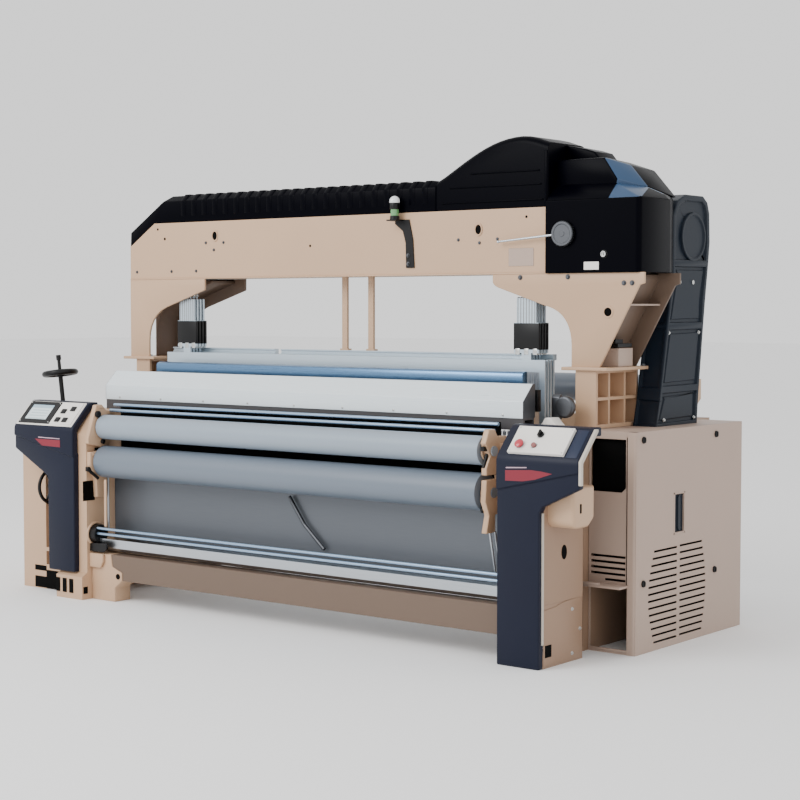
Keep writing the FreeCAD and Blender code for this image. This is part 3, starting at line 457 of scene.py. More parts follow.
def bend(start, corner, end, steps=6):
    """Points of a smooth curve from start to end that leans towards a corner."""
    start, corner, end = Vector(start), Vector(corner), Vector(end)
    shares = [step / steps for step in range(steps + 1)]
    return [start.lerp(corner, t).lerp(corner.lerp(end, t), t) for t in shares]


def soften(shape, width, segments=2, sharper=35, test=None):
    """Round the edges that turn by more than an angle, all of them or those that pass a test."""
    shape.normal_update()
    edges = [edge for edge in shape.edges
             if len(edge.link_faces) == 2 and edge.calc_face_angle() > math.radians(sharper)
             and (test is None or test(edge))]
    bmesh.ops.bevel(shape, geom=edges, offset=width, offset_type="OFFSET", affect="EDGES",
                    segments=segments, profile=0.5, material=-1, clamp_overlap=True)


def cut(shape, spot, direction, dist=1e-5):
    """Cut the whole mesh across by a plane, and keep both sides."""
    bmesh.ops.bisect_plane(shape, geom=[*shape.verts, *shape.edges, *shape.faces],
                           dist=dist, plane_co=spot, plane_no=direction)


def fastener(shape, centre, axis, radius):
    """A hexagon head standing on a washer."""
    stand = Matrix.Translation(centre) @ Vector(axis).to_track_quat("Z", "Y").to_matrix().to_4x4()
    for sides, wide, low, high in ((20, 1.45, 0, 0.3), (6, 1.0, 0.3, 1.0)):
        middle = Matrix.Translation((0, 0, radius * (low + high) / 2))
        bmesh.ops.create_cone(shape, cap_ends=True, segments=sides, radius1=wide * radius,
                              radius2=wide * radius * 0.95, depth=(high - low) * radius,
                              matrix=stand @ middle)


def piece(name, shape, finish, body="loom", slot=None, stands_for=(), smooth=30):
    """Turn a finished bmesh into an object that rides on a body."""
    bmesh.ops.recalc_face_normals(shape, faces=shape.faces)
    mesh = bpy.data.meshes.new(name)
    shape.to_mesh(mesh)
    shape.free()
    made = bpy.data.objects.new(name, mesh)
    bpy.context.scene.collection.objects.link(made)
    mesh.materials.append(Finish.made[finish].material)
    mesh.shade_smooth()
    mesh.set_sharp_from_angle(angle=math.radians(smooth))
    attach(made, body)
    if stands_for:
        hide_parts(*stands_for)
    print(name, "-", len(mesh.polygons), "faces, rides on", body)
    return made


def block_set(name, finish, corners, width=0.0015, segments=2, body="loom"):
    """Blocks between pairs of corners, softened where a width is given, as one mesh piece."""
    shape = bmesh.new()
    for low, high in corners:
        block(shape, low, high)
    if width:
        soften(shape, width, segments=segments)
    return piece(name, shape, finish, body)


def rods(name, runs, radius, finish, body="loom", slot=None):
    """Round bar along runs of points, as one mesh piece."""
    shape = bmesh.new()
    for run in runs:
        for start, end in zip(run, run[1:]):
            start, end = Vector(start), Vector(end)
            length = (end - start).length
            turned(shape, start, end - start,
                   [(0, 0), (0, radius), (length, radius), (length, 0)], steps=12)
    return piece(name, shape, finish, body, slot)


print("tools: block, plate, turned, soften, cut, fastener, piece, block_set, rods")

# %% [markdown]
# ## Overhead cover
# A long dark moulding caps the beam. Its front top edge is cut back, and shallow ribs run over
# it every 75 mm to stiffen it. The shell is one plate with a bevelled edge. A rib is the same
# section, grown by its height, in a short length.

# %% Ribbed beam cover
beam_low, beam_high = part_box("overhead_beam")
cover_low, cover_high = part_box("beam_cover")
CUT_BACK = 0.029
RIB_PITCH = 0.075
RIB_HALF = 0.019
RIB_TALL = 0.006

shape = bmesh.new()
plate(shape, "y", [
    (cover_low.x, cover_low.z), (cover_low.x + 0.184, beam_high.z + 0.0003),
    (cover_high.x, beam_high.z + 0.0003), (cover_high.x, cover_high.z),
    (cover_low.x + 0.293, cover_high.z), (cover_low.x + 0.003, beam_high.z - 0.044)],
    cover_low.y, cover_high.y)
soften(shape, CUT_BACK, segments=1, test=lambda edge: all(
    vert.co.z > beam_high.z + 0.1 for vert in edge.verts) and abs(
    edge.verts[0].co.y - edge.verts[1].co.y) < 0.001)
soften(shape, 0.004, segments=2)
piece("overhead_cover", shape, "navy_gloss", slot="navy_cover", stands_for=["beam_cover"])

shape = bmesh.new()
rib_places = []
place = cover_low.x + 0.40
while place < cover_high.x - 0.03:
    rib_places.append(place)
    place += RIB_PITCH
for place in rib_places:
    plate(shape, "x", [
        (cover_low.y - 0.002, cover_low.z + 0.15), (cover_low.y - 0.002, cover_high.z - CUT_BACK),
        (cover_low.y + CUT_BACK, cover_high.z + RIB_TALL),
        (cover_high.y - CUT_BACK, cover_high.z + RIB_TALL),
        (cover_high.y + 0.002, cover_high.z - CUT_BACK), (cover_high.y + 0.002, cover_low.z + 0.15)],
        place - RIB_HALF, place + RIB_HALF)
soften(shape, 0.005, segments=2)
piece("overhead_cover_ribs", shape, "navy_gloss", slot="navy_cover")

# %% [markdown]
# ## Hump over the harness drive
# Towards the drive end the cover swells into a smooth hump. A power of a sine gives its long
# rising side, which ends level at the crown. Its front top edge is rounded wide, and three
# long ridges stand on the front.

# %% Hump cover
hump_low, hump_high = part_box("hump_cover")
CROWN = hump_low.x + 0.460
crown_rise = hump_high.z - cover_high.z

rising = []
for step in range(13):
    share = step / 12
    rising.append((hump_low.x + share * (CROWN - hump_low.x),
                   cover_high.z + crown_rise * math.sin(share * math.pi / 2) ** 1.1))
falling = [(CROWN + 0.04, hump_high.z - 0.003), (CROWN + 0.085, hump_high.z - 0.013),
           (hump_high.x, hump_high.z - 0.036)]
shape = bmesh.new()
plate(shape, "y", [(hump_high.x, beam_high.z + 0.0003), (hump_low.x, beam_high.z + 0.0003)]
      + rising + falling, hump_low.y, hump_high.y)
soften(shape, 0.032, segments=4, sharper=60, test=lambda edge: all(
    vert.co.z > cover_high.z - 0.001 and vert.co.x < hump_high.x + 0.001 for vert in edge.verts)
    and abs(edge.verts[0].co.y - edge.verts[1].co.y) < 0.001)
piece("hump_shell", shape, "navy_gloss", slot="navy_cover", stands_for=["hump_cover"], smooth=40)

shape = bmesh.new()
for height, start, end in ((1.950, 0.66, 1.215), (2.018, 0.70, 1.205), (2.078, 0.82, 1.195)):
    block(shape, (start, hump_low.y - 0.005, height - 0.007), (end, hump_low.y + 0.004, height))
block(shape, (1.222, hump_low.y - 0.004, beam_high.z + 0.004), (1.236, hump_low.y + 0.004, 2.16))
soften(shape, 0.0025, segments=2)
piece("hump_ridges", shape, "navy_gloss", slot="navy_cover")

# %% [markdown]
# ## Drive head cover
# The cover at the end of the beam is faceted: a tall front, a shelf that leans back, a raised
# block on top, and a long flank down to the belt guard. A convex hull of a few corners gives
# each of the two upper bodies without listing a single face, and a bevel rounds all of them.
# The slopes at the outer corner and the block's side towards the drive end get a lighter
# blue, a painted sheen on faces that look up and on faces that look towards the drive end.

# %% Drive head
head_low, head_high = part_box("drive_head_cover")
SHELF = head_low.z + 0.314
BLOCK_FRONT = beam_low.y + 0.060


def hull(shape, points):
    """The convex body that a few corners span."""
    corners = [shape.verts.new(spot) for spot in points]
    made = bmesh.ops.convex_hull(shape, input=corners)
    spare = [part for part in made["geom_interior"] if isinstance(part, bmesh.types.BMVert)]
    bmesh.ops.delete(shape, geom=spare, context="VERTS")


def paint_sheen_facets(made, test):
    """Give the faces near the front that pass a test the lighter blue of the painted sheen."""
    made.data.materials.append(Finish.made["navy_painted_sheen"].material)
    for face in made.data.polygons:
        face.material_index = int(face.center.y < -0.1 and test(face))


shape = bmesh.new()
plate(shape, "z", [
    (head_low.x, head_low.y), (head_high.x, head_low.y), (head_high.x, head_high.y - 0.182),
    (head_high.x - 0.087, head_high.y), (head_low.x, head_high.y)], head_low.z, SHELF)
soften(shape, 0.022, segments=4, test=lambda edge: abs(
    edge.verts[0].co.z - edge.verts[1].co.z) > 0.1 and edge.verts[0].co.x > head_low.x + 0.1)
piece("drive_head_front", shape, "navy_gloss", slot="navy_cover",
      stands_for=["drive_head_cover"])

shape = bmesh.new()
hull(shape, [
    (head_low.x, head_low.y + 0.002, SHELF), (head_high.x - 0.003, head_low.y + 0.002, SHELF),
    (head_high.x - 0.003, -0.072, SHELF), (head_low.x, head_high.y, SHELF),
    (head_high.x - 0.09, head_high.y, SHELF), (head_low.x, BLOCK_FRONT, 2.012),
    (head_low.x + 0.314, BLOCK_FRONT, 2.006), (head_low.x + 0.408, -0.15, 1.990),
    (head_high.x - 0.03, -0.07, 1.962), (head_high.x - 0.09, head_high.y, 1.958),
    (head_low.x, head_high.y, 2.0)])
soften(shape, 0.006, segments=2, sharper=12)
FACET_START = head_low.x + 0.318
cut(shape, (FACET_START, 0, 0), (1, 0, 0), dist=0)
paint_sheen_facets(piece("drive_head_shelf", shape, "navy_gloss", slot="navy_cover"), lambda face: (
    face.center.x > FACET_START and face.normal.x < 0.6 and face.normal.z > 0.25))

shape = bmesh.new()
hull(shape, [
    (head_low.x, BLOCK_FRONT, 1.99), (head_low.x + 0.31, BLOCK_FRONT, 1.99),
    (head_low.x + 0.012, BLOCK_FRONT, 2.116), (head_low.x + 0.253, BLOCK_FRONT, 2.117),
    (head_low.x + 0.318, BLOCK_FRONT, 2.024), (head_low.x, -0.15, head_high.z),
    (head_low.x + 0.191, -0.15, head_high.z), (head_low.x + 0.322, -0.15, 2.088),
    (head_low.x + 0.408, -0.15, 1.990), (head_low.x, 0.06, head_high.z - 0.01),
    (head_low.x + 0.191, 0.06, head_high.z - 0.01), (head_low.x + 0.322, 0.06, 2.075),
    (head_low.x + 0.415, 0.09, 1.955), (head_low.x, head_high.y - 0.01, 1.955)])
soften(shape, 0.006, segments=2, sharper=12)
paint_sheen_facets(piece("drive_head_block", shape, "navy_gloss", slot="navy_cover"),
            lambda face: face.normal.x > 0.4)

shape = bmesh.new()
plate(shape, "y", [
    (head_low.x - 0.002, 2.10), (head_low.x - 0.002, 2.190), (head_low.x + 0.094, 2.170),
    (head_low.x + 0.146, 2.154), (head_low.x + 0.176, 2.119), (head_low.x + 0.176, 2.10)],
    -0.16, -0.004)
soften(shape, 0.008, segments=3)
piece("hump_tail", shape, "navy_gloss", slot="navy_cover")

# %% [markdown]
# ## Belt guard
# The tall slate guard stands behind the drive head and covers the belt to the harness drive. It
# is one moulding with bays: thin ribs divide its side and its front, and each bay is sunk. The
# guard is cut by level planes at the ribs, and every bay that this makes is inset twice. Two
# more insets raise a field in each lower bay of the side.

# %% Belt guard
guard_low, guard_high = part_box("tower_cover")
GUARD_SIDE = guard_high.x
GUARD_IN = GUARD_SIDE - 0.118
RIB_HEIGHTS = (1.110, 1.390, 1.670)

shape = bmesh.new()
plate(shape, "x", [
    (-0.025, guard_low.z), (0.008, guard_low.z + 0.127), (head_high.y, head_low.z),
    (head_high.y, guard_high.z - 0.097), (0.150, guard_high.z - 0.030),
    (0.223, guard_high.z), (0.385, guard_high.z), (0.425, guard_high.z - 0.026),
    (0.445, guard_high.z - 0.075), (0.451, guard_high.z - 0.207), (0.440, guard_high.z - 0.297),
    (0.412, guard_high.z - 0.477), (0.352, guard_low.z + 0.127), (0.340, guard_low.z)],
    GUARD_IN, GUARD_SIDE)
soften(shape, 0.010, segments=3, test=lambda edge: all(
    vert.co.x > GUARD_SIDE - 0.001 and vert.co.z > guard_low.z + 0.001 for vert in edge.verts))
for level in RIB_HEIGHTS:
    cut(shape, (0, 0, level), (0, 0, 1))
bmesh.ops.recalc_face_normals(shape, faces=shape.faces)
for direction, margin in ((Vector((1, 0, 0)), 0.020), (Vector((0, -1, 0)), 0.012)):
    bays = [face for face in shape.faces
            if face.normal.dot(direction) > 0.93 and face.calc_area() > 0.01]
    bmesh.ops.inset_individual(shape, faces=bays, thickness=margin, depth=-0.001)
    bmesh.ops.inset_individual(shape, faces=bays, thickness=0.005, depth=-0.009)
    wide = [face for face in bays if direction.x and face.calc_center_bounds().z < 1.7]
    if wide:
        bmesh.ops.inset_individual(shape, faces=wide, thickness=0.020, depth=0.0)
        bmesh.ops.inset_individual(shape, faces=wide, thickness=0.004, depth=0.005)
piece("belt_guard", shape, "slate_guard", slot="slate_cover", stands_for=["tower_cover"])

shape = bmesh.new()
sheave_y, sheave_z = 0.300, 1.790
turned(shape, (GUARD_SIDE - 0.012, sheave_y, sheave_z), (1, 0, 0), [
    (0, 0.112), (0.013, 0.108), (0.013, 0.098), (0.007, 0.094), (0.007, 0.0)], steps=48)
turned(shape, (GUARD_IN - 0.040, sheave_y, sheave_z), (1, 0, 0), [
    (0, 0.0), (0, 0.042), (0.003, 0.045), (0.041, 0.045), (0.041, 0.0)])
piece("belt_guard_dish", shape, "slate_guard", slot="slate_cover")

shape = bmesh.new()
for place in (0.18, 0.299):
    fastener(shape, (GUARD_SIDE - 0.012, place, 1.586), (1, 0, 0), 0.011)
for level in (0.975, 1.36):
    for place in (0.05, 0.32):
        fastener(shape, (GUARD_SIDE - 0.006, place + (level - 0.975) * 0.1, level), (1, 0, 0), 0.006)
piece("belt_guard_bolts", shape, "zinc")

# %% [markdown]
# ## Control housings
# Each housing is one thick moulding: a leg, a bend, a sloping panel and a short flat top. It is
# made the way a sheet-metal shop would: a flat blank is cut to its outline, scored across at the
# bends, and folded by a formula. A slanting crease sets the leg back from the panel, and solidify
# gives the sheet its thickness.

# %% Folded control housings
front_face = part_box("right_control_housing")[0].y
LIP = 0.863
RUN = Vector((0.118, 0.127))
SLOPE = RUN.length
BEND = 0.022
TOP_FLAT = 0.058
FLAT_END = LIP + SLOPE + TOP_FLAT


def folded(length):
    """Where a distance along the blank comes to lie, as (y, z)."""
    lip = Vector((front_face, LIP))
    crest = lip + RUN
    turns = ((LIP, lip, Vector((0, 1)), RUN / SLOPE), (LIP + SLOPE, crest, RUN / SLOPE, Vector((1, 0))))
    for at, corner, before, after in turns:
        share = (length - at + BEND) / (2 * BEND)
        if 0 <= share <= 1:
            start = corner - before * BEND
            end = corner + after * BEND
            return start.lerp(corner, share).lerp(corner.lerp(end, share), share)
    if length < LIP:
        return Vector((front_face, length))
    if length < LIP + SLOPE:
        return lip + RUN / SLOPE * (length - LIP)
    return crest + Vector((length - LIP - SLOPE, 0))


def housing(name, outline, crease, replaced):
    shape = bmesh.new()
    shape.faces.new([shape.verts.new((across, 0, length)) for across, length in outline])
    scores = [at + BEND * step / 3 for at in (LIP, LIP + SLOPE) for step in range(-3, 4)]
    cuts = [((0, 0, score), (0, 0, 1)) for score in scores]
    start, end = (Vector((across, 0, height)) for across, height in crease)
    square = Vector((start.z - end.z, 0, end.x - start.x)).normalized()
    cuts += [(start, square), (start - square * 0.007, square)]
    for spot, direction in cuts:
        cut(shape, spot, direction)
    for vert in shape.verts:
        setback = 0.008 if (vert.co - start).dot(square) < -0.006 else 0
        vert.co.y, vert.co.z = folded(vert.co.z)
        vert.co.y += setback
    shape.normal_update()
    if sum(face.normal.y for face in shape.faces) > 0:
        bmesh.ops.reverse_faces(shape, faces=shape.faces)
    bmesh.ops.solidify(shape, geom=list(shape.faces), thickness=0.036)
    soften(shape, 0.006, segments=3, sharper=50)
    return piece(name, shape, "hood_blue", slot="blue_housing", stands_for=[replaced])


housing("right_hood", [
    (1.367, 0.0), (1.575, 0.0), (1.575, 0.640), (1.587, 0.666), (1.766, 0.750),
    (1.766, FLAT_END), (1.367, FLAT_END)], ((1.406, 0.738), (1.786, 0.822)),
    "right_control_housing")
hood_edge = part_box("left_control_housing")[1].x
housing("left_hood", [
    (-1.438, 0.135), (hood_edge, 0.135), (hood_edge, FLAT_END), (-1.693, FLAT_END),
    (-1.693, 0.745), (-1.438, 0.612)], ((-1.693, 0.815), (-1.243, 0.722)),
    "left_control_housing")

# %% [markdown]
# ## Flashes on the housings
# A red flash with a thin pale line over it runs across each housing under the panel. Both are
# plain shapes without any lettering, 1 mm thick.

# %% Red and pale flashes
shape = bmesh.new()
plate(shape, "y", [(1.415, 0.809), (1.415, 0.766), (1.500, 0.768), (1.560, 0.778),
                   (1.644, 0.806), (1.590, 0.813), (1.538, 0.816)], front_face - 0.001, front_face + 0.001)
plate(shape, "y", [(-1.526, 0.801), (-1.471, 0.768), (-1.332, 0.765), (-1.332, 0.801)],
      front_face - 0.001, front_face + 0.001)
piece("red_flashes", shape, "red_flash")
shape = bmesh.new()
plate(shape, "y", [(1.418, 0.822), (1.418, 0.817), (1.520, 0.823), (1.520, 0.827)],
      front_face - 0.001, front_face + 0.001)
plate(shape, "y", [(-1.500, 0.812), (-1.498, 0.807), (-1.335, 0.806), (-1.335, 0.810)],
      front_face - 0.001, front_face + 0.001)
piece("pale_lines", shape, "pale_flash")

# %% [markdown]
# ## Panels on the slope
# The screen, keypad and buttons sit square on the sloping panels. They are built flat, as
# (across, up the slope, out of it), and one matrix lays them on the slope afterwards.

# %% Screens, keys and buttons
up = RUN / SLOPE
ON_SLOPE = Matrix(((1, 0, 0, 0), (0, up.x, -up.y, front_face), (0, up.y, up.x, LIP), (0, 0, 0, 1)))


def on_panel(name, finish, build, width=0.0015, body="loom", slot=None, stands_for=()):
    """Build in panel coordinates, round the edges, and lay the piece on the slope."""
    shape = bmesh.new()
    build(shape)
    if width:
        soften(shape, width, segments=2)
    bmesh.ops.transform(shape, matrix=ON_SLOPE, verts=shape.verts)
    return piece(name, shape, finish, body, slot, stands_for)


on_panel("left_panel_surround", "white_film",
         lambda shape: block(shape, (-1.684, 0.010, -0.002), (hood_edge - 0.012, 0.166, 0.004)), 0.003)
on_panel("screen_page_film", "screen_page",
         lambda shape: block(shape, (-1.633, 0.042, 0.0065), (-1.468, 0.138, 0.0078)), 0)
on_panel("right_panel_margin", "hood_lift",
         lambda shape: block(shape, (1.697, 0.014, -0.002), (1.752, 0.158, 0.002)), 0.002)

KEYS = {"key_1": (0.045, 0.045), "key_2": (0.052, 0.100), "key_3": (0.100, 0.045),
        "key_4": (0.112, 0.118)}
keypad_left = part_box("keypad_plate")[0].x
for body, (across, along) in KEYS.items():
    middle = keypad_left + across
    on_panel(body + "_cap", "black_plastic", lambda shape: [
        block(shape, (middle - half, along - half + 0.003, low), (middle + half, along + half - 0.003, high))
        for half, low, high in ((0.014, 0.0055, 0.0104), (0.0175, 0.0103, 0.0145))],
        0.002, body, "black_plastic", ["keypad_" + body])

plate_left, plate_right = (corner.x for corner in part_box("button_plate"))
STOP, START, SELECT = plate_left + 0.048, plate_left + 0.117, plate_left + 0.124
on_panel("stop_cap", "red_button", lambda shape: turned(shape, (STOP, 0.055, 0), (0, 0, 1), [
    (0.014, 0), (0.014, 0.011), (0.020, 0.012), (0.021, 0.018), (0.026, 0.0200), (0.030, 0.0190),
    (0.033, 0.014), (0.034, 0.006), (0.034, 0)]), 0, "stop_body", "red_plastic", ["stop_button"])
on_panel("start_cap", "brown_button", lambda shape: turned(shape, (START, 0.055, 0), (0, 0, 1), [
    (0.014, 0), (0.014, 0.0095), (0.019, 0.0105), (0.024, 0.0105), (0.026, 0.009), (0.0245, 0.007),
    (0.0245, 0)]), 0, "start_body", "brown_plastic", ["start_button"])
on_panel("button_collars", "zinc", lambda shape: [turned(
    shape, (across, along, 0), (0, 0, 1), [
        (0.012, rim - 0.001), (0.012, rim + 0.004), (0.0155, rim + 0.002), (0.0155, rim - 0.001),
        (0.012, rim - 0.001)])
    for across, along, rim in ((STOP, 0.055, 0.015), (START, 0.055, 0.012), (SELECT, 0.112, 0.015))], 0)
on_panel("panel_screws", "zinc", lambda shape: [turned(
    shape, (across, along, 0), (0, 0, 1), [(base, 0.0035), (base + 0.0015, 0.0033),
                                          (base + 0.0022, 0.0022), (base + 0.0022, 0)], steps=16)
    for across, along, base in (
        (plate_left + 0.009, 0.027, 0.0138), (plate_right - 0.009, 0.027, 0.0138),
        (plate_left + 0.009, 0.146, 0.0138), (plate_right - 0.009, 0.146, 0.0138),
        (-1.655, 0.027, 0.0098), (-1.436, 0.027, 0.0098),
        (-1.655, 0.150, 0.0098), (-1.436, 0.150, 0.0098))], 0)

# %% [markdown]
# ## Roll brackets
# The two rolls turn in brackets inside the side frames. The left one is a triangular casting
# over a second casting for the lower roll; the right one is a pair of slim arms. Black caps
# end the spreader bars and the bearings.

# %% Bracket castings
left_in, left_out = (corner.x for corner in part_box("left_roll_bracket"))
right_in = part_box("right_roll_bracket")[0].x
_, ROLL_Y, TOP_ROLL = sum(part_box("take_up_roll"), Vector()) / 2
LOW_ROLL = sum(corner.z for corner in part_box("cloth_roll")) / 2

shape = bmesh.new()
for outline in (
        [(-0.790, 0.982), (-0.757, 0.984), (-0.720, 0.952), (-0.645, 0.952), (-0.645, 0.935),
         (-0.715, 0.930), (-0.700, 0.790), (-0.753, 0.767), (-0.845, 0.790), (-0.846, 0.815)],
        [(-0.833, 0.747), (-0.645, 0.757), (-0.645, 0.620), (-0.720, 0.610), (-0.735, 0.515),
         (-0.789, 0.515), (-0.795, 0.612), (-0.833, 0.674)]):
    plate(shape, "x", outline, left_in, left_out)
    plate(shape, "x", outline[:2] + [(a + 0.02, b - 0.02) for a, b in reversed(outline[:2])],
          left_in, left_out + 0.006)
soften(shape, 0.004, segments=3)
piece("left_bracket", shape, "beige_enamel", slot="beige_paint", stands_for=["left_roll_bracket"])

shape = bmesh.new()
for outline in (
        [(-0.774, 0.962), (-0.732, 0.962), (-0.712, 0.930), (-0.645, 0.930), (-0.645, 0.780),
         (-0.714, 0.770), (-0.793, 0.770), (-0.793, 0.800), (-0.764, 0.850), (-0.800, 0.905)],
        [(-0.793, 0.750), (-0.645, 0.752), (-0.645, 0.610), (-0.727, 0.600), (-0.727, 0.525),
         (-0.792, 0.525), (-0.772, 0.600), (-0.800, 0.660)]):
    plate(shape, "x", outline, right_in, right_in + 0.028)
block(shape, (right_in, -0.700, 0.62), (1.385, -0.660, 0.90))
soften(shape, 0.004, segments=3)
piece("right_bracket", shape, "beige_enamel", slot="beige_paint", stands_for=["right_roll_bracket"])

shape = bmesh.new()
for height in (TOP_ROLL, LOW_ROLL):
    turned(shape, (left_in, ROLL_Y, height), (1, 0, 0), [
        (0.028, 0.022), (0.028, 0.046), (0.034, 0.044), (0.034, 0.0235)])
    turned(shape, (right_in, ROLL_Y, height), (-1, 0, 0), [
        (0, 0.022), (0, 0.044), (0.010, 0.042), (0.010, 0.0235)])
piece("bearing_bosses", shape, "beige_enamel")

shape = bmesh.new()
for place, level, radius in ((-0.784, 0.936, 0.017), (-0.752, 0.797, 0.012)):
    turned(shape, (left_out, place, level), (1, 0, 0), [
        (-0.002, 0), (-0.002, radius), (0.010, radius), (0.014, radius * 0.7), (0.014, 0)])
for place, level, radius in ((-0.744, 0.933, 0.017), (-0.771, 0.623, 0.014)):
    turned(shape, (right_in, place, level), (-1, 0, 0), [
        (-0.002, 0), (-0.002, radius), (0.010, radius), (0.014, radius * 0.7), (0.014, 0)])
block(shape, (right_in + 0.006, -0.805, 0.872), (right_in + 0.022, -0.762, 0.892))
block(shape, (left_in + 0.004, -0.845, 0.650), (left_out - 0.004, -0.790, 0.672))
turned(shape, (-1.180, -0.778, 0.326), (1, 0, 0), [(0, 0.048), (0.010, 0.046), (0.010, 0)])
piece("bracket_caps", shape, "black_plastic")

rods("bracket_rods", [
    [(left_in + 0.014, -0.703, 0.640), (left_in + 0.014, -0.703, 0.339)],
    [(right_in + 0.014, -0.749, 0.530), (right_in + 0.014, -0.704, 0.341)],
    [(right_in + 0.030, -0.735, 0.530), (right_in + 0.030, -0.690, 0.341)]], 0.006, "stainless")
rods("bracket_levers", [
    [(left_out + 0.006, -0.862, 0.668), (left_out + 0.006, -0.788, 0.612)],
    [(right_in + 0.010, -0.758, 0.875), (right_in + 0.010, -0.790, 0.800)]], 0.008, "black_plastic")

# %% [markdown]
# ## Harness couplings
# Every heald frame hangs from two rods. Where rod and frame meet sit a black rubber block, a
# bundle of grey guide bars over it, small pale clips below and a nut above. Thin wires with a
# small eye fill the window of each frame. All of it rides on its own frame, so it rises and
# falls with it.

# %% Couplings and heald wires
HANGERS = (-1.015, 1.115)
WIRE_PITCH = 0.0252
for number in range(1, 5):
    body = f"heald_{number}"
    low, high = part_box(f"heald_frame_{number}")
    middle = (low.y + high.y) / 2
    blocks, bars, clips, wires = (bmesh.new() for _ in range(4))
    for across in HANGERS:
        block(blocks, (across - 0.068, low.y - 0.0008, 1.285), (across + 0.068, high.y + 0.0008, 1.403))
        for step in range(7):
            turned(bars, (across - 0.045 + 0.015 * step, middle, 1.403), (0, 0, 1), [
                (0, 0), (0, 0.0068), (0.113, 0.0068), (0.116, 0.004), (0.116, 0)], steps=12)
        for step in (-1, 0, 1):
            block(clips, (across + 0.047 * step - 0.012, low.y - 0.0015, 1.262),
                  (across + 0.047 * step + 0.012, high.y + 0.0015, 1.290))
        fastener(clips, (across, middle, 1.530), (0, 0, 1), 0.0095)
        fastener(clips, (across, middle, 1.550), (0, 0, 1), 0.0085)
    place = low.x + 0.040
    while place < high.x - 0.035:
        for radius, start, end in ((0.0009, 0.615, 1.190), (0.0030, 0.895, 0.915)):
            bmesh.ops.create_cone(
                wires, cap_ends=True, segments=4, radius1=radius, radius2=radius, depth=end - start,
                matrix=Matrix.Translation((place, middle, (start + end) / 2)))
        place += WIRE_PITCH
    for shape in (blocks, clips):
        soften(shape, 0.0015, segments=2)
    piece(f"coupling_blocks_{number}", blocks, "black_plastic", body)
    piece(f"coupling_bars_{number}", bars, "rib_rod", body)
    piece(f"coupling_clips_{number}", clips, "zinc", body)
    piece(f"heald_wires_{number}", wires, "stainless", body)

shape = bmesh.new()
for start, end in ((-1.210, -0.480), (-0.440, 1.198)):
    plate(shape, "x", [(-0.196, 1.237), (-0.166, 1.237), (-0.166, 1.264), (-0.196, 1.264),
                       (-0.196, 1.258), (-0.190, 1.256), (-0.190, 1.246), (-0.196, 1.244)], start, end)
piece("guide_rail", shape, "alloy")

# %% [markdown]
# ## Sley and cutter
# The reed stands in the sley and is closed by a blue cap, and its dents are thin upright strips.
# Both ride with the sley. A grey cutter housing and a dark box sit beside the weaving width.

# %% Reed cap, dents and cutter
reed_low, reed_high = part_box("reed")
shape = bmesh.new()
plate(shape, "x", [(-0.395, 1.140), (-0.360, 1.140), (-0.360, 1.190), (-0.372, 1.192),
                   (-0.390, 1.186), (-0.395, 1.176)], reed_low.x, reed_high.x)
soften(shape, 0.0025, segments=3)
piece("reed_cap", shape, "alloy_blue", "sley_body")
shape = bmesh.new()
place = reed_low.x + 0.006
while place < reed_high.x - 0.004:
    block(shape, (place, reed_low.y - 0.0008, 1.062), (place + 0.0014, reed_high.y + 0.0008, 1.139))
    place += 0.010
piece("reed_dents", shape, "stainless", "sley_body")

shape = bmesh.new()
plate(shape, "x", [(-0.412, 0.990), (-0.385, 0.990), (-0.385, 1.095), (-0.400, 1.099),
                   (-0.412, 1.085)], 1.333, 1.372)
turned(shape, (1.395, -0.400, 1.045), (0, 1, 0), [
    (-0.014, 0), (-0.014, 0.040), (-0.008, 0.048), (0.012, 0.048), (0.016, 0.044), (0.016, 0)])
soften(shape, 0.003, segments=2)
piece("cutter_housing", shape, "dark_steel")
block_set("weft_sensor_box", "black_plastic", [
    ((1.190, -0.452, 1.022), (1.288, -0.424, 1.118)), ((1.205, -0.458, 1.040), (1.272, -0.452, 1.100)),
    ((1.235, -0.452, 0.995), (1.262, -0.430, 1.022))], 0.003)
shape = bmesh.new()
plate(shape, "y", [(1.328, 0.950), (1.424, 0.950), (1.418, 0.968), (1.400, 0.984), (1.386, 1.002),
                   (1.356, 1.002), (1.346, 0.984), (1.334, 0.970)], -0.500, -0.430)
soften(shape, 0.005, segments=3)
piece("frame_top_cap", shape, "white_film")

# %% [markdown]
# ## Breast cover
# The bright cover over the breast beam is closed at its ends by thin plates and held down by a
# row of low screws. A bent lever hangs in front of the sheet below the rolls.

# %% Cover ends, screws and lever
shape = bmesh.new()
for start in (-1.3055, 1.3035):
    plate(shape, "x", [(-0.587, 1.000), (-0.587, 1.072), (-0.515, 1.145), (-0.497, 1.145),
                       (-0.497, 1.000)], start, start + 0.002)
piece("cover_ends", shape, "dark_steel")
shape = bmesh.new()
for step in range(-4, 5):
    turned(shape, (step * 0.3, -0.587, 1.012), (0, -1, 0), [
        (0, 0.006), (0.002, 0.0055), (0.003, 0.003), (0.003, 0)], steps=12)
piece("cover_screws", shape, "zinc")
rods("bent_lever", [[(0.062, -0.690, 0.593), (0.154, -0.690, 0.470), (0.276, -0.690, 0.364)]],
     0.009, "dark_steel")

# %% [markdown]
# ## Fittings on the beam
# Two oval ports with raised rims, their screws, a few plain holes, a blank plate and a thin
# flange under the beam. Each port is a turned ring, squeezed to an oval. The openings of the
# ports and the holes are flat black discs of painted shade.

# %% Ports, holes and flange
beam_face = beam_low.y
PORTS = ((-0.784, 1.837), (0.870, 1.823))
shape = bmesh.new()
for across, height in PORTS:
    turned(shape, (across, beam_face, height), (0, -1, 0), [
        (-0.002, 0.030), (0.004, 0.029), (0.004, 0.022), (-0.002, 0.021)], 40, (0.75, 1, 1))
piece("port_rims", shape, "beige_enamel")
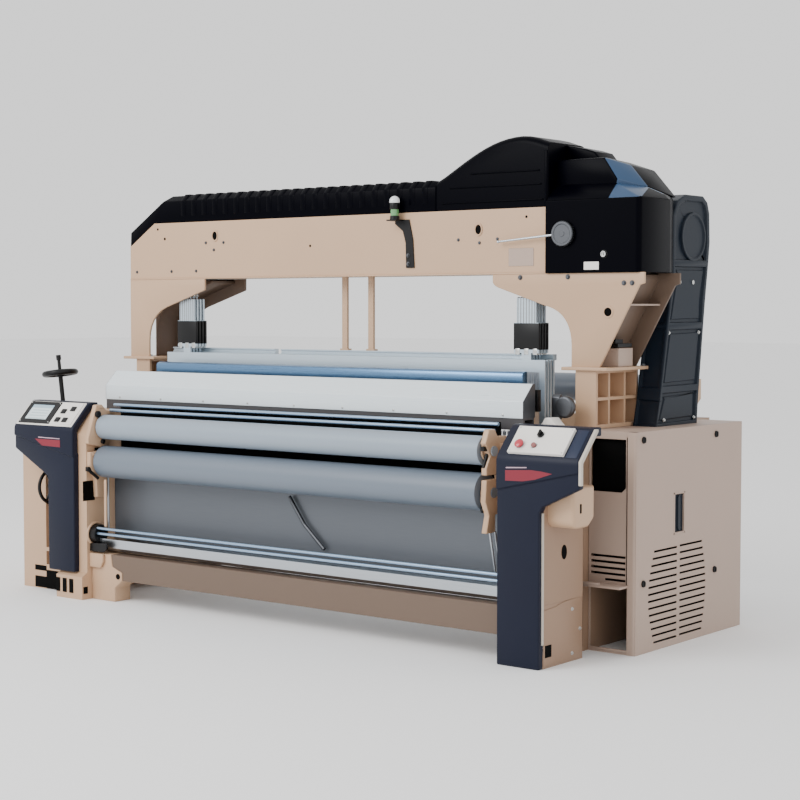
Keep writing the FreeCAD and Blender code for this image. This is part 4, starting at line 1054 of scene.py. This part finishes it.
# Flat black discs for the port openings and the holes: painted shade.
shape = bmesh.new()
for across, height in PORTS:
    turned(shape, (across, beam_face, height), (0, -1, 0),
           [(0, 0), (0, 0.022), (0.0012, 0.022), (0.0012, 0)], 40, (0.75, 1, 1))
for across, height, radius in (
        (-1.149, 1.83, 0.007), (-1.201, 1.881, 0.006), (-0.139, 1.772, 0.006), (1.13, 1.872, 0.006)):
    turned(shape, (across, beam_face, height), (0, -1, 0), [(0, 0), (0, radius), (0.001, radius), (0.001, 0)])
turned(shape, (1.554, -0.3135, 1.453), (0, -1, 0), [(0, 0), (0, 0.018), (0.001, 0.018), (0.001, 0)])
piece("port_holes", shape, "painted_shade_and_seam_black")
shape = bmesh.new()
turned(shape, (1.554, -0.3125, 1.453), (0, -1, 0), [
    (-0.001, 0.027), (0.003, 0.026), (0.003, 0.019), (-0.001, 0.018)], steps=32)
piece("upright_port_rim", shape, "beige_enamel")

shape = bmesh.new()
for across, height in ((-0.849, 1.803), (-0.724, 1.802), (-0.792, 1.766), (0.757, 1.779),
                       (0.974, 1.778), (0.875, 1.763), (-1.36, 1.66), (-1.10, 1.66), (-0.92, 1.66)):
    fastener(shape, (across, beam_face, height), (0, -1, 0), 0.0055)
for across, height in ((1.632, 1.576), (1.672, 1.576), (1.10, 1.605), (1.35, 1.605)):
    fastener(shape, (across, -0.313, height), (0, -1, 0), 0.008)
for height in (1.675, 1.714):
    fastener(shape, (0.471, -0.316, height), (0, -1, 0), 0.007)
piece("beam_screws", shape, "dark_steel")

block_set("beam_flange", "beige_enamel", [
    ((beam_low.x + 0.002, beam_low.y - 0.006, 1.6195), (beam_high.x - 0.002, beam_low.y, 1.6255)),
    ((beam_high.x - 0.006, beam_low.y - 0.005, 1.622), (beam_high.x - 0.001, beam_low.y, 1.908))])
block_set("blank_plate", "cabinet_enamel", [
    ((1.035, beam_low.y - 0.0015, 1.655), (1.170, beam_low.y, 1.735))], 0.0008, 1)
block_set("head_blank_plate", "white_film", [
    ((1.439, head_low.y - 0.0015, 1.634), (1.514, head_low.y + 0.001, 1.668))], 0.0008, 1)

# %% [markdown]
# ## Lamp, lever and lock
# The signal lamp is one turned stack: a black base, a green ring, a dark ring and a white dome.
# The shedding lever has a disc with a ridged rim that fingers can grip, and the cover lock
# has a ring and a key slot, whose dark is a thin black block of painted shade.

# %% Lamp, lever disc and lock
lamp_low, lamp_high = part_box("signal_lamp")
LAMP = ((lamp_low.x + lamp_high.x) / 2, (lamp_low.y + lamp_high.y) / 2, lamp_low.z)
for name, finish, stations, replaced in (
        ("lamp_base", "black_plastic", [(0, 0), (0, 0.023), (0.016, 0.022), (0.018, 0.020), (0.018, 0)], ()),
        ("lamp_ring", "lens_green", [(0.018, 0), (0.018, 0.0195), (0.048, 0.0195), (0.048, 0)], ()),
        ("lamp_collar", "black_plastic", [(0.048, 0), (0.048, 0.022), (0.052, 0.0235), (0.074, 0.0235),
                                          (0.078, 0.022), (0.078, 0)], ()),
        ("lamp_dome", "lens_white", [(0.078, 0.0245)] + [
            (0.086 + 0.024 * math.sin(math.radians(15 * k)), 0.0248 * math.cos(math.radians(15 * k)))
            for k in range(6)] + [(0.110, 0)], ["signal_lamp"])):
    shape = bmesh.new()
    turned(shape, LAMP, (0, 0, 1), stations, steps=40)
    piece(name, shape, finish, slot="lamp_lens" if replaced else None, stands_for=replaced)

lever_low, lever_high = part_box("shed_lever")
DISC = Vector((lever_high.x - 0.057, 0, 1.791))
DISC_FRONT = lever_low.y
shape = bmesh.new()
turned(shape, (DISC.x, DISC_FRONT, DISC.z), (0, 1, 0), [
    (0.003, 0), (0.003, 0.040), (0, 0.043), (0, 0.052), (0.004, 0.0565), (0.020, 0.0565),
    (0.0215, 0.054), (0.0215, 0)], steps=72)
for vert in shape.verts:
    out = Vector((vert.co.x - DISC.x, 0, vert.co.z - DISC.z))
    if out.length > 0.055 and round(math.degrees(math.atan2(out.z, out.x)) / 5) % 2:
        vert.co -= out.normalized() * 0.003
turned(shape, (DISC.x, DISC_FRONT, DISC.z), (0, 1, 0), [(0.001, 0), (0.001, 0.012), (0.006, 0.014)], 24)
piece("lever_disc", shape, "dark_steel", "shed_lever_body", "machined_steel", ["shed_lever"], 20)
shape = bmesh.new()
turned(shape, (DISC.x, -0.337, DISC.z), (-0.9969, 0, -0.0785), [
    (0.03, 0), (0.03, 0.0055), (0.335, 0.0045), (0.336, 0.0065), (0.344, 0.0065), (0.344, 0)], steps=16)
turned(shape, (DISC.x, -0.3255, DISC.z), (0, 1, 0), [(0, 0.030), (0.030, 0.030), (0.030, 0)], steps=24)
piece("lever_rod", shape, "stainless", "shed_lever_body")

lock_low, lock_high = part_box("cover_lock")
LOCK = Vector(((lock_low.x + lock_high.x) / 2, lock_low.y, (lock_low.z + lock_high.z) / 2))
shape = bmesh.new()
turned(shape, LOCK, (0, 1, 0), [
    (0.004, 0), (0.004, 0.0085), (0, 0.0095), (0, 0.0125), (0.003, 0.013), (0.030, 0.013), (0.030, 0)])
piece("lock_barrel", shape, "zinc", "lock_body", "machined_steel", ["cover_lock"])
block_set("lock_slot", "painted_shade_and_seam_black", [
    (LOCK + Vector((-0.001, 0.003, -0.006)), LOCK + Vector((0.001, 0.005, 0.006)))], 0, body="lock_body")
shape = bmesh.new()
turned(shape, (LOCK.x, head_low.y, LOCK.z), (0, -1, 0), [
    (-0.001, 0.0135), (-0.001, 0.0185), (0.002, 0.0175), (0.002, 0.0138)])
piece("lock_ring", shape, "black_plastic")

# %% [markdown]
# ## Cabinet at the drive end
# The cabinet has a rounded front corner, a window, louvres, a framed grip pocket and
# quarter-turn knobs. The dark in the window, behind the louvres and in the lower opening is
# painted shade: thin black blocks just behind the openings, so the openings themselves stay
# those of the frame. A thin black strip marks the seam down the front.

# %% Cabinet corner, painted shade in the openings, and knobs
shell_low, shell_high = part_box("right_cabinet_shell")
panel_low, panel_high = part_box("right_side_panel")
shape = bmesh.new()
plate(shape, "z", [
    (panel_low.x - 0.020, shell_low.y - 0.004), (panel_low.x + 0.006, shell_low.y - 0.004)]
    + [(panel_high.x - 0.014 + 0.014 * math.sin(math.radians(a)) + 0.001,
        shell_low.y + 0.010 - 0.014 * math.cos(math.radians(a))) for a in (0, 22.5, 45, 67.5, 90)]
    + [(panel_high.x + 0.001, shell_low.y + 0.026), (panel_low.x - 0.020, shell_low.y + 0.026)],
    0.0, shell_high.z)
piece("cabinet_corner", shape, "cabinet_enamel")

block_set("cabinet_opening_shade", "painted_shade_and_seam_black", [
    ((1.506, shell_low.y + 0.022, 0.684), (1.690, shell_low.y + 0.030, 0.922)),
    ((panel_low.x - 0.003, -0.290, 0.030), (panel_low.x + 0.003, 0.290, 0.450)),
    ((1.515, shell_low.y + 0.022, 0.300), (1.690, shell_low.y + 0.028, 0.424)),
    ((1.6895, shell_low.y - 0.0045, 0.300), (1.6925, shell_low.y + 0.001, 0.925))], width=0)
shape = bmesh.new()
block(shape, (panel_low.x + 0.004, -0.041, 0.492), (panel_high.x - 0.008, 0.041, 0.660))
plate(shape, "x", [(-0.010, 0.510), (0, 0.496), (0.010, 0.510), (0.010, 0.642), (0, 0.656),
                   (-0.010, 0.642)], panel_high.x - 0.010, panel_high.x - 0.002)
piece("grip_pads", shape, "slate_guard")
block_set("grip_frame", "cabinet_enamel", [
    ((panel_high.x - 0.002, front, low), (panel_high.x + 0.001, back, high))
    for front, back, low, high in (
        (-0.052, -0.043, 0.484, 0.668), (0.039, 0.048, 0.484, 0.668),
        (-0.052, 0.048, 0.660, 0.668), (-0.052, 0.048, 0.484, 0.492))], 0.001, 1)

shape = bmesh.new()
for place, height in ((-0.313, 0.913), (0.326, 0.903), (-0.309, 0.301), (0.320, 0.290)):
    turned(shape, (panel_high.x, place, height), (1, 0, 0), [
        (-0.002, 0.0), (-0.002, 0.0150), (0.006, 0.0145), (0.008, 0.012), (0.008, 0)])
    block(shape, (panel_high.x + 0.007, place - 0.0035, height - 0.011),
          (panel_high.x + 0.012, place + 0.0035, height + 0.011))
soften(shape, 0.001, segments=1)
piece("quarter_turn_knobs", shape, "black_plastic", slot="black_plastic",
      stands_for=["side_panel_knobs"])

block_set("cabinet_ledge", "cabinet_enamel", [
    ((1.497, -0.445, 0.288), (1.700, -0.371, 0.298)), ((1.497, -0.445, 0.298), (1.600, -0.440, 0.308)),
    ((1.500, -0.374, 0.010), (1.700, -0.369, 0.020))])

# %% [markdown]
# ## Set-back side frame
# Behind its front leg the drive-end frame is narrower, which leaves room for the cabinet front
# and a few conduits. The ready mesh is copied, welded and cut across once, and then everything
# behind the cut is pressed flat against the inner plane.

# %% Set-back frame and conduits
STEP_Y = -0.535
STEP_X = 1.498
shape = bmesh.new()
shape.from_mesh(frame["nodes"]["right_side_frame"].data)
bmesh.ops.remove_doubles(shape, verts=shape.verts, dist=1e-5)
for along in (STEP_Y - 0.0005, STEP_Y):
    cut(shape, (0, along, 0), (0, 1, 0), dist=1e-6)
for vert in shape.verts:
    if vert.co.y > STEP_Y - 0.0002:
        vert.co.x = min(vert.co.x, STEP_X)
bmesh.ops.dissolve_degenerate(shape, dist=1e-5, edges=shape.edges)
# The set-back frame takes the darker side beige, as painted shade.
piece("right_frame_casting", shape, "painted_shade_side_enamel", slot="beige_paint",
      stands_for=["right_side_frame"])
shape = bmesh.new()
plate(shape, "x", [(-0.833, 0.2615), (-0.5365, 0.2615), (-0.5365, 0.948), (-0.700, 0.948),
                   (-0.833, 0.830)], 1.5745, 1.5768)
soften(shape, 0.0008, segments=1)
piece("frame_side_plate", shape, "painted_shade_side_enamel")
rods("conduits", [[(across, STEP_Y + 0.014, 0.300), (across, STEP_Y + 0.014, 0.600)]
                  for across in (1.508, 1.524, 1.540, 1.556)], 0.006, "dark_steel")

# %% [markdown]
# ## Drive-end frame
# A gear housing with rounded flanks bulges from the side frame behind the hood. Under it lie a
# round sight hole, an access plate and a square lifting hole. The holes, and a slot in the gear
# housing, are flat black shapes of painted shade.

# %% Gear housing and access plate
gear_low, gear_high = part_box("gear_housing")
shape = bmesh.new()
plate(shape, "x", [(-0.805, 0.602), (-0.780, 0.577), (-0.685, 0.577), (-0.640, 0.612),
                   (-0.640, 0.745), (-0.805, 0.745)], gear_low.x, gear_high.x)
soften(shape, 0.022, segments=5, test=lambda edge: any(
    vert.co.x > gear_high.x - 0.001 for vert in edge.verts) and all(
    vert.co.z < 0.744 or vert.co.x > gear_high.x - 0.001 for vert in edge.verts))
piece("gear_case", shape, "beige_enamel", slot="beige_paint", stands_for=["gear_housing"], smooth=40)
frame_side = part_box("right_side_frame")[1].x
shape = bmesh.new()
block(shape, (gear_high.x - 0.001, -0.756, 0.640), (gear_high.x + 0.001, -0.744, 0.678))
block(shape, (frame_side - 0.001, -0.823, 0.045), (frame_side + 0.0045, -0.777, 0.095))
turned(shape, (frame_side + 0.0015, -0.682, 0.465), (1, 0, 0),
       [(0, 0), (0, 0.024), (0.002, 0.024), (0.002, 0)], 32, (1, 0.8, 1.25))
piece("frame_holes", shape, "painted_shade_and_seam_black")
shape = bmesh.new()
plate(shape, "x", [
    (-0.833, 0.010), (-0.560, 0.010), *bend((-0.550, 0.012), (-0.540, 0.012), (-0.540, 0.022)),
    (-0.540, 0.240), *bend((-0.560, 0.262), (-0.700, 0.262), (-0.740, 0.246)), (-0.833, 0.240)],
    frame_side, frame_side + 0.003)
soften(shape, 0.0012, segments=2)
piece("access_plate", shape, "painted_shade_side_enamel")
shape = bmesh.new()
plate(shape, "x", [(-0.871, 0.765), (-0.871, 0.861), (-0.757, 0.984), (-0.744, 0.984), (-0.744, 0.974),
                   (-0.857, 0.853), (-0.857, 0.765)], 1.765, 1.779)
plate(shape, "x", [(-0.848, 0.100), (-0.836, 0.100), (-0.836, 0.640), (-0.848, 0.640)],
      frame_side - 0.001, frame_side + 0.006)
soften(shape, 0.0015, segments=2)
piece("hood_edge_strip", shape, "pale_trim")
shape = bmesh.new()
for place, height in ((-0.62, 0.220), (-0.62, 0.035), (-0.560, 0.130)):
    fastener(shape, (frame_side + 0.002, place, height), (1, 0, 0), 0.006)
for across in (-1.36, -1.28, 1.40, 1.485):
    for place in (-0.29, 0.02):
        fastener(shape, (across, place, 1.215), (0, 0, 1), 0.010)
piece("frame_screws", shape, "zinc")

# %% [markdown]
# ## Left end
# The inner face of the left frame has openings over a round black drum, which ends the
# lower rails. The foot is a casting with slots in its front, and the end cabinet has slots.
# The dark in these openings and slots, and in the window of the bracket, is painted shade:
# black blocks and a small disc set on the faces.

# %% Left foot, bearing and slots
left_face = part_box("left_side_frame")[1].x
shape = bmesh.new()
block(shape, (left_face - 0.002, -0.862, 0.030), (left_face + 0.0015, -0.834, 0.065))
block(shape, (left_face - 0.002, -0.858, 0.500), (left_face + 0.0015, -0.782, 0.600))
block(shape, (left_face - 0.002, -0.780, 0.690), (left_face + 0.0015, -0.700, 0.765))
for across in (-1.375, -1.325, -1.275):
    block(shape, (across, -0.8735, 0.030), (across + 0.028, -0.8685, 0.100))
for right, low, high in ((-1.600, 0.094, 0.121), (-1.600, 0.005, 0.063), (-1.442, 0.005, 0.098)):
    block(shape, (-1.690 if right < -1.5 else -1.600, -0.7465, low), (right, -0.7435, high))
plate(shape, "x", [(-0.735, 0.925), (-0.712, 0.842), (-0.758, 0.832)], left_out - 0.001, left_out + 0.007)
turned(shape, (-0.985, -0.806, 0.130), (0, -1, 0), [(0, 0), (0, 0.014), (0.002, 0.014), (0.002, 0)])
piece("left_hollows", shape, "painted_shade_and_seam_black")

shape = bmesh.new()
turned(shape, (left_face, -0.778, 0.330), (1, 0, 0), [
    (0, 0.048), (0.040, 0.048), (0.045, 0.044), (0.045, 0.0)])
plate(shape, "y", [
    (left_face, 0.246), (-1.080, 0.246), *bend((-1.064, 0.256), (-1.050, 0.268), (-1.064, 0.284)),
    (-1.080, 0.290), (left_face, 0.284)], -0.816, -0.806)
piece("left_drum", shape, "black_plastic")

shape = bmesh.new()
plate(shape, "y", [(left_face, 0.0), (-1.010, 0.0), (-1.010, 0.070), (-0.960, 0.110), (-0.960, 0.150),
                   (-1.030, 0.175), (-1.040, 0.236), (left_face, 0.236)], -0.805, -0.700)
plate(shape, "y", [(left_face, 0.165), (-1.100, 0.165), (-1.080, 0.200), (-1.080, 0.236),
                   (left_face, 0.236)], -0.822, -0.805)
turned(shape, (left_face, -0.778, 0.330), (1, 0, 0), [
    (0, 0.062), (0.004, 0.062), (0.008, 0.056), (0.008, 0.049), (0, 0.049)], steps=40)
block(shape, (-1.092, -0.800, 0.372), (-1.075, -0.790, 0.610))
soften(shape, 0.004, segments=2)
piece("left_foot_casting", shape, "beige_enamel")

# %% [markdown]
# ## Uprights of the arch
# Each upright is a box with a deep recess: a front plate with a smooth inner curve, a rear
# plate, a foot, and a web set well inside. The rear plate and the web are a darker beige,
# painted shade for the recess.

# %% Front plates, rear plates and webs
WALL = 0.012
WEB_BACK = 0.125
LEFT_LEG = [
    (-1.410, 1.214), (-1.269, 1.214), *bend((-1.269, 1.300), (-1.267, 1.428), (-1.140, 1.474)),
    (-0.858, 1.562), (-0.857, 1.6215), (-1.410, 1.6215)]
RIGHT_LEG = [
    (1.370, 1.214), (1.512, 1.214), (1.707, 1.567), (1.731, 1.575), (1.731, 1.6215),
    (0.950, 1.6215), *bend((0.950, 1.590), (0.950, 1.568), (0.995, 1.556)),
    *bend((1.230, 1.481), (1.366, 1.452), (1.370, 1.310), 10)]
front, rear = beam_low.y - 0.003, beam_high.y
for name, outline, foot, web, replaced in (
        ("left", LEFT_LEG, (-1.455, -1.224), [
            (-1.350, 1.214), (-1.338, 1.214), *bend((-1.338, 1.330), (-1.336, 1.470), (-1.180, 1.520)),
            (-0.93, 1.60), (-0.93, 1.612), (-1.350, 1.612)], "left_upright"),
        ("right", RIGHT_LEG, (1.325, 1.557), [
            (1.375, 1.214), (1.425, 1.214), (1.628, 1.590), (1.628, 1.615), (1.10, 1.615), (1.10, 1.560),
            *bend((1.240, 1.500), (1.372, 1.470), (1.375, 1.320))], "right_upright")):
    shape = bmesh.new()
    plate(shape, "y", outline, front, front + WALL)
    block(shape, (foot[0], front - 0.012, 1.200), (foot[1], rear + 0.025, 1.2145))
    soften(shape, 0.0018, segments=2)
    piece(name + "_front_plate", shape, "beige_enamel", slot="beige_paint", stands_for=[replaced])
    shape = bmesh.new()
    plate(shape, "y", outline, rear - WALL, rear)
    plate(shape, "y", web, front + WEB_BACK, rear - WALL)
    soften(shape, 0.0018, segments=2)
    piece(name + "_rear_plate", shape, "painted_shade_enamel")

shape = bmesh.new()
block(shape, (1.440, -0.210, 1.2150), (1.545, -0.090, 1.296))
block(shape, (1.440, -0.205, 1.296), (1.480, -0.110, 1.330))
plate(shape, "y", [(1.545, 1.480), (1.640, 1.480), (1.640, 1.488), (1.545, 1.488)], -0.29, -0.02)
soften(shape, 0.002, segments=2)
piece("upright_box", shape, "cabinet_enamel")
block_set("upright_clamp", "black_plastic", [
    ((1.478, -0.215, 1.300), (1.545, -0.100, 1.316)), ((1.500, -0.212, 1.316), (1.530, -0.150, 1.334))],
    width=0)

# %% [markdown]
# ## Back and left side
# The rear of the loom is plain work that a mechanic reaches: bolted brackets, a cable duct
# along the arch, doors on the left cabinet with barrel hinges and latches, and ribs with bolts
# on the outer face of each warp flange.

# %% Rear bolts, duct, doors and flange ribs
shape = bmesh.new()
for across in (-1.150, -1.060, 1.260, 1.350):
    for height in (0.893, 0.932):
        fastener(shape, (across, 0.630, height), (0, 1, 0), 0.009)
for across in (-1.385, -1.300, -1.215, 1.000, 1.085, 1.170):
    for height in (1.650, 1.880):
        fastener(shape, (across, beam_high.y, height), (0, 1, 0), 0.009)
for low, high in ((-1.440, -1.240), (1.340, 1.540)):
    for across in (low, high):
        fastener(shape, (across, 0.012, 1.2145), (0, 0, 1), 0.009)
piece("rear_bolts", shape, "dark_steel")

DUCT_LEFT, CLIP_PITCH = -1.100, 0.165
block_set("rear_duct", "cabinet_enamel", [
    ((DUCT_LEFT, beam_high.y, 1.790), (DUCT_LEFT + 2.0, beam_high.y + 0.022, 1.850)),
    *(((place, beam_high.y + 0.021, 1.796), (place + 0.005, beam_high.y + 0.0235, 1.844))
      for place in (DUCT_LEFT + 0.040 + CLIP_PITCH * clip for clip in range(12)))])
block_set("rear_hatches", "beige_enamel", [
    ((left, beam_high.y, 1.655), (left + 0.320, beam_high.y + 0.003, 1.760))
    for left in (-0.980, 0.420)], 0.0012)

cabinet_low, cabinet_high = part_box("left_end_cabinet")
DOORS = ((cabinet_low.y + 0.012, -0.2125), (-0.2075, cabinet_high.y - 0.012))
block_set("cabinet_doors", "beige_enamel", [
    ((cabinet_low.x - 0.003, front, 0.030), (cabinet_low.x, back, 0.725)) for front, back in DOORS])
shape = bmesh.new()
for hinge, latch in ((DOORS[0][0] + 0.004, -0.245), (DOORS[1][1] - 0.004, -0.175)):
    for height in (0.110, 0.620):
        turned(shape, (cabinet_low.x - 0.004, hinge, height), (0, 0, 1), [
            (0, 0), (0, 0.006), (0.029, 0.006), (0.029, 0.005), (0.031, 0.005), (0.031, 0.006),
            (0.060, 0.006), (0.060, 0)], steps=16)
    turned(shape, (cabinet_low.x - 0.003, latch, 0.400), (-1, 0, 0), [
        (0, 0.016), (0.003, 0.016), (0.004, 0.013), (0.004, 0)])
    block(shape, (cabinet_low.x - 0.0115, latch - 0.004, 0.388),
          (cabinet_low.x - 0.0065, latch + 0.004, 0.412))
for row in range(9):
    low = 0.500 + 0.018 * row
    block(shape, (-1.690, cabinet_high.y - 0.001, low), (-1.465, cabinet_high.y + 0.0008, low + 0.005))
piece("cabinet_hinges", shape, "black_plastic")

warp_low, warp_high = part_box("warp_beam")
warp_y, warp_z = (warp_low.y + warp_high.y) / 2, (warp_low.z + warp_high.z) / 2
FLANGE = (warp_high.z - warp_low.z) / 2
FLANGES = ((-1.045, -1), (1.100, 1))
RIB_COUNT = 8
shape = bmesh.new()
for face_x, way in FLANGES:
    hub = (face_x, warp_y, warp_z)
    turned(shape, hub, (way, 0, 0), [
        (0, FLANGE - 0.001), (0.008, FLANGE - 0.001), (0.008, FLANGE - 0.014), (0, FLANGE - 0.016)], 72)
    turned(shape, hub, (way, 0, 0), [
        (0, 0.105), (0.010, 0.103), (0.010, 0.080), (0.016, 0.076), (0.016, 0.048), (0, 0.048)], 48)
    for rib in range(RIB_COUNT):
        spoke = Matrix.Translation(hub) @ Matrix.Rotation(math.radians(45 * rib + 10), 4, "X")
        bmesh.ops.create_cube(shape, size=1, matrix=spoke @ Matrix.Translation(
            (way * 0.003, 0, (FLANGE + 0.085) / 2)) @ Matrix.Diagonal((0.008, 0.012, FLANGE - 0.105, 1)))
piece("flange_ribs", shape, "bright_cover", body="warp")
shape = bmesh.new()
for face_x, way in FLANGES:
    for bolt in range(RIB_COUNT):
        angle = math.radians(45 * bolt + 32)
        fastener(shape, (face_x + way * 0.010, warp_y + 0.092 * math.sin(angle),
                         warp_z + 0.092 * math.cos(angle)), (way, 0, 0), 0.007)
piece("flange_bolts", shape, "dark_steel", body="warp")

# %% [markdown]
# ## Painted shade behind the rolls
# A thin black sheet stands between the breast beam and the front sheet. It is painted shade:
# it makes the gap between the rolls dark.

# %% Painted shade sheet behind the rolls
shape = bmesh.new()
plate(shape, "x", [(-0.6365, 0.652), (-0.6345, 0.652), (-0.6345, 0.985), (-0.6365, 0.985)], -1.140, 1.225)
piece("shade_sheet_behind_rolls", shape, "painted_shade_and_seam_black")
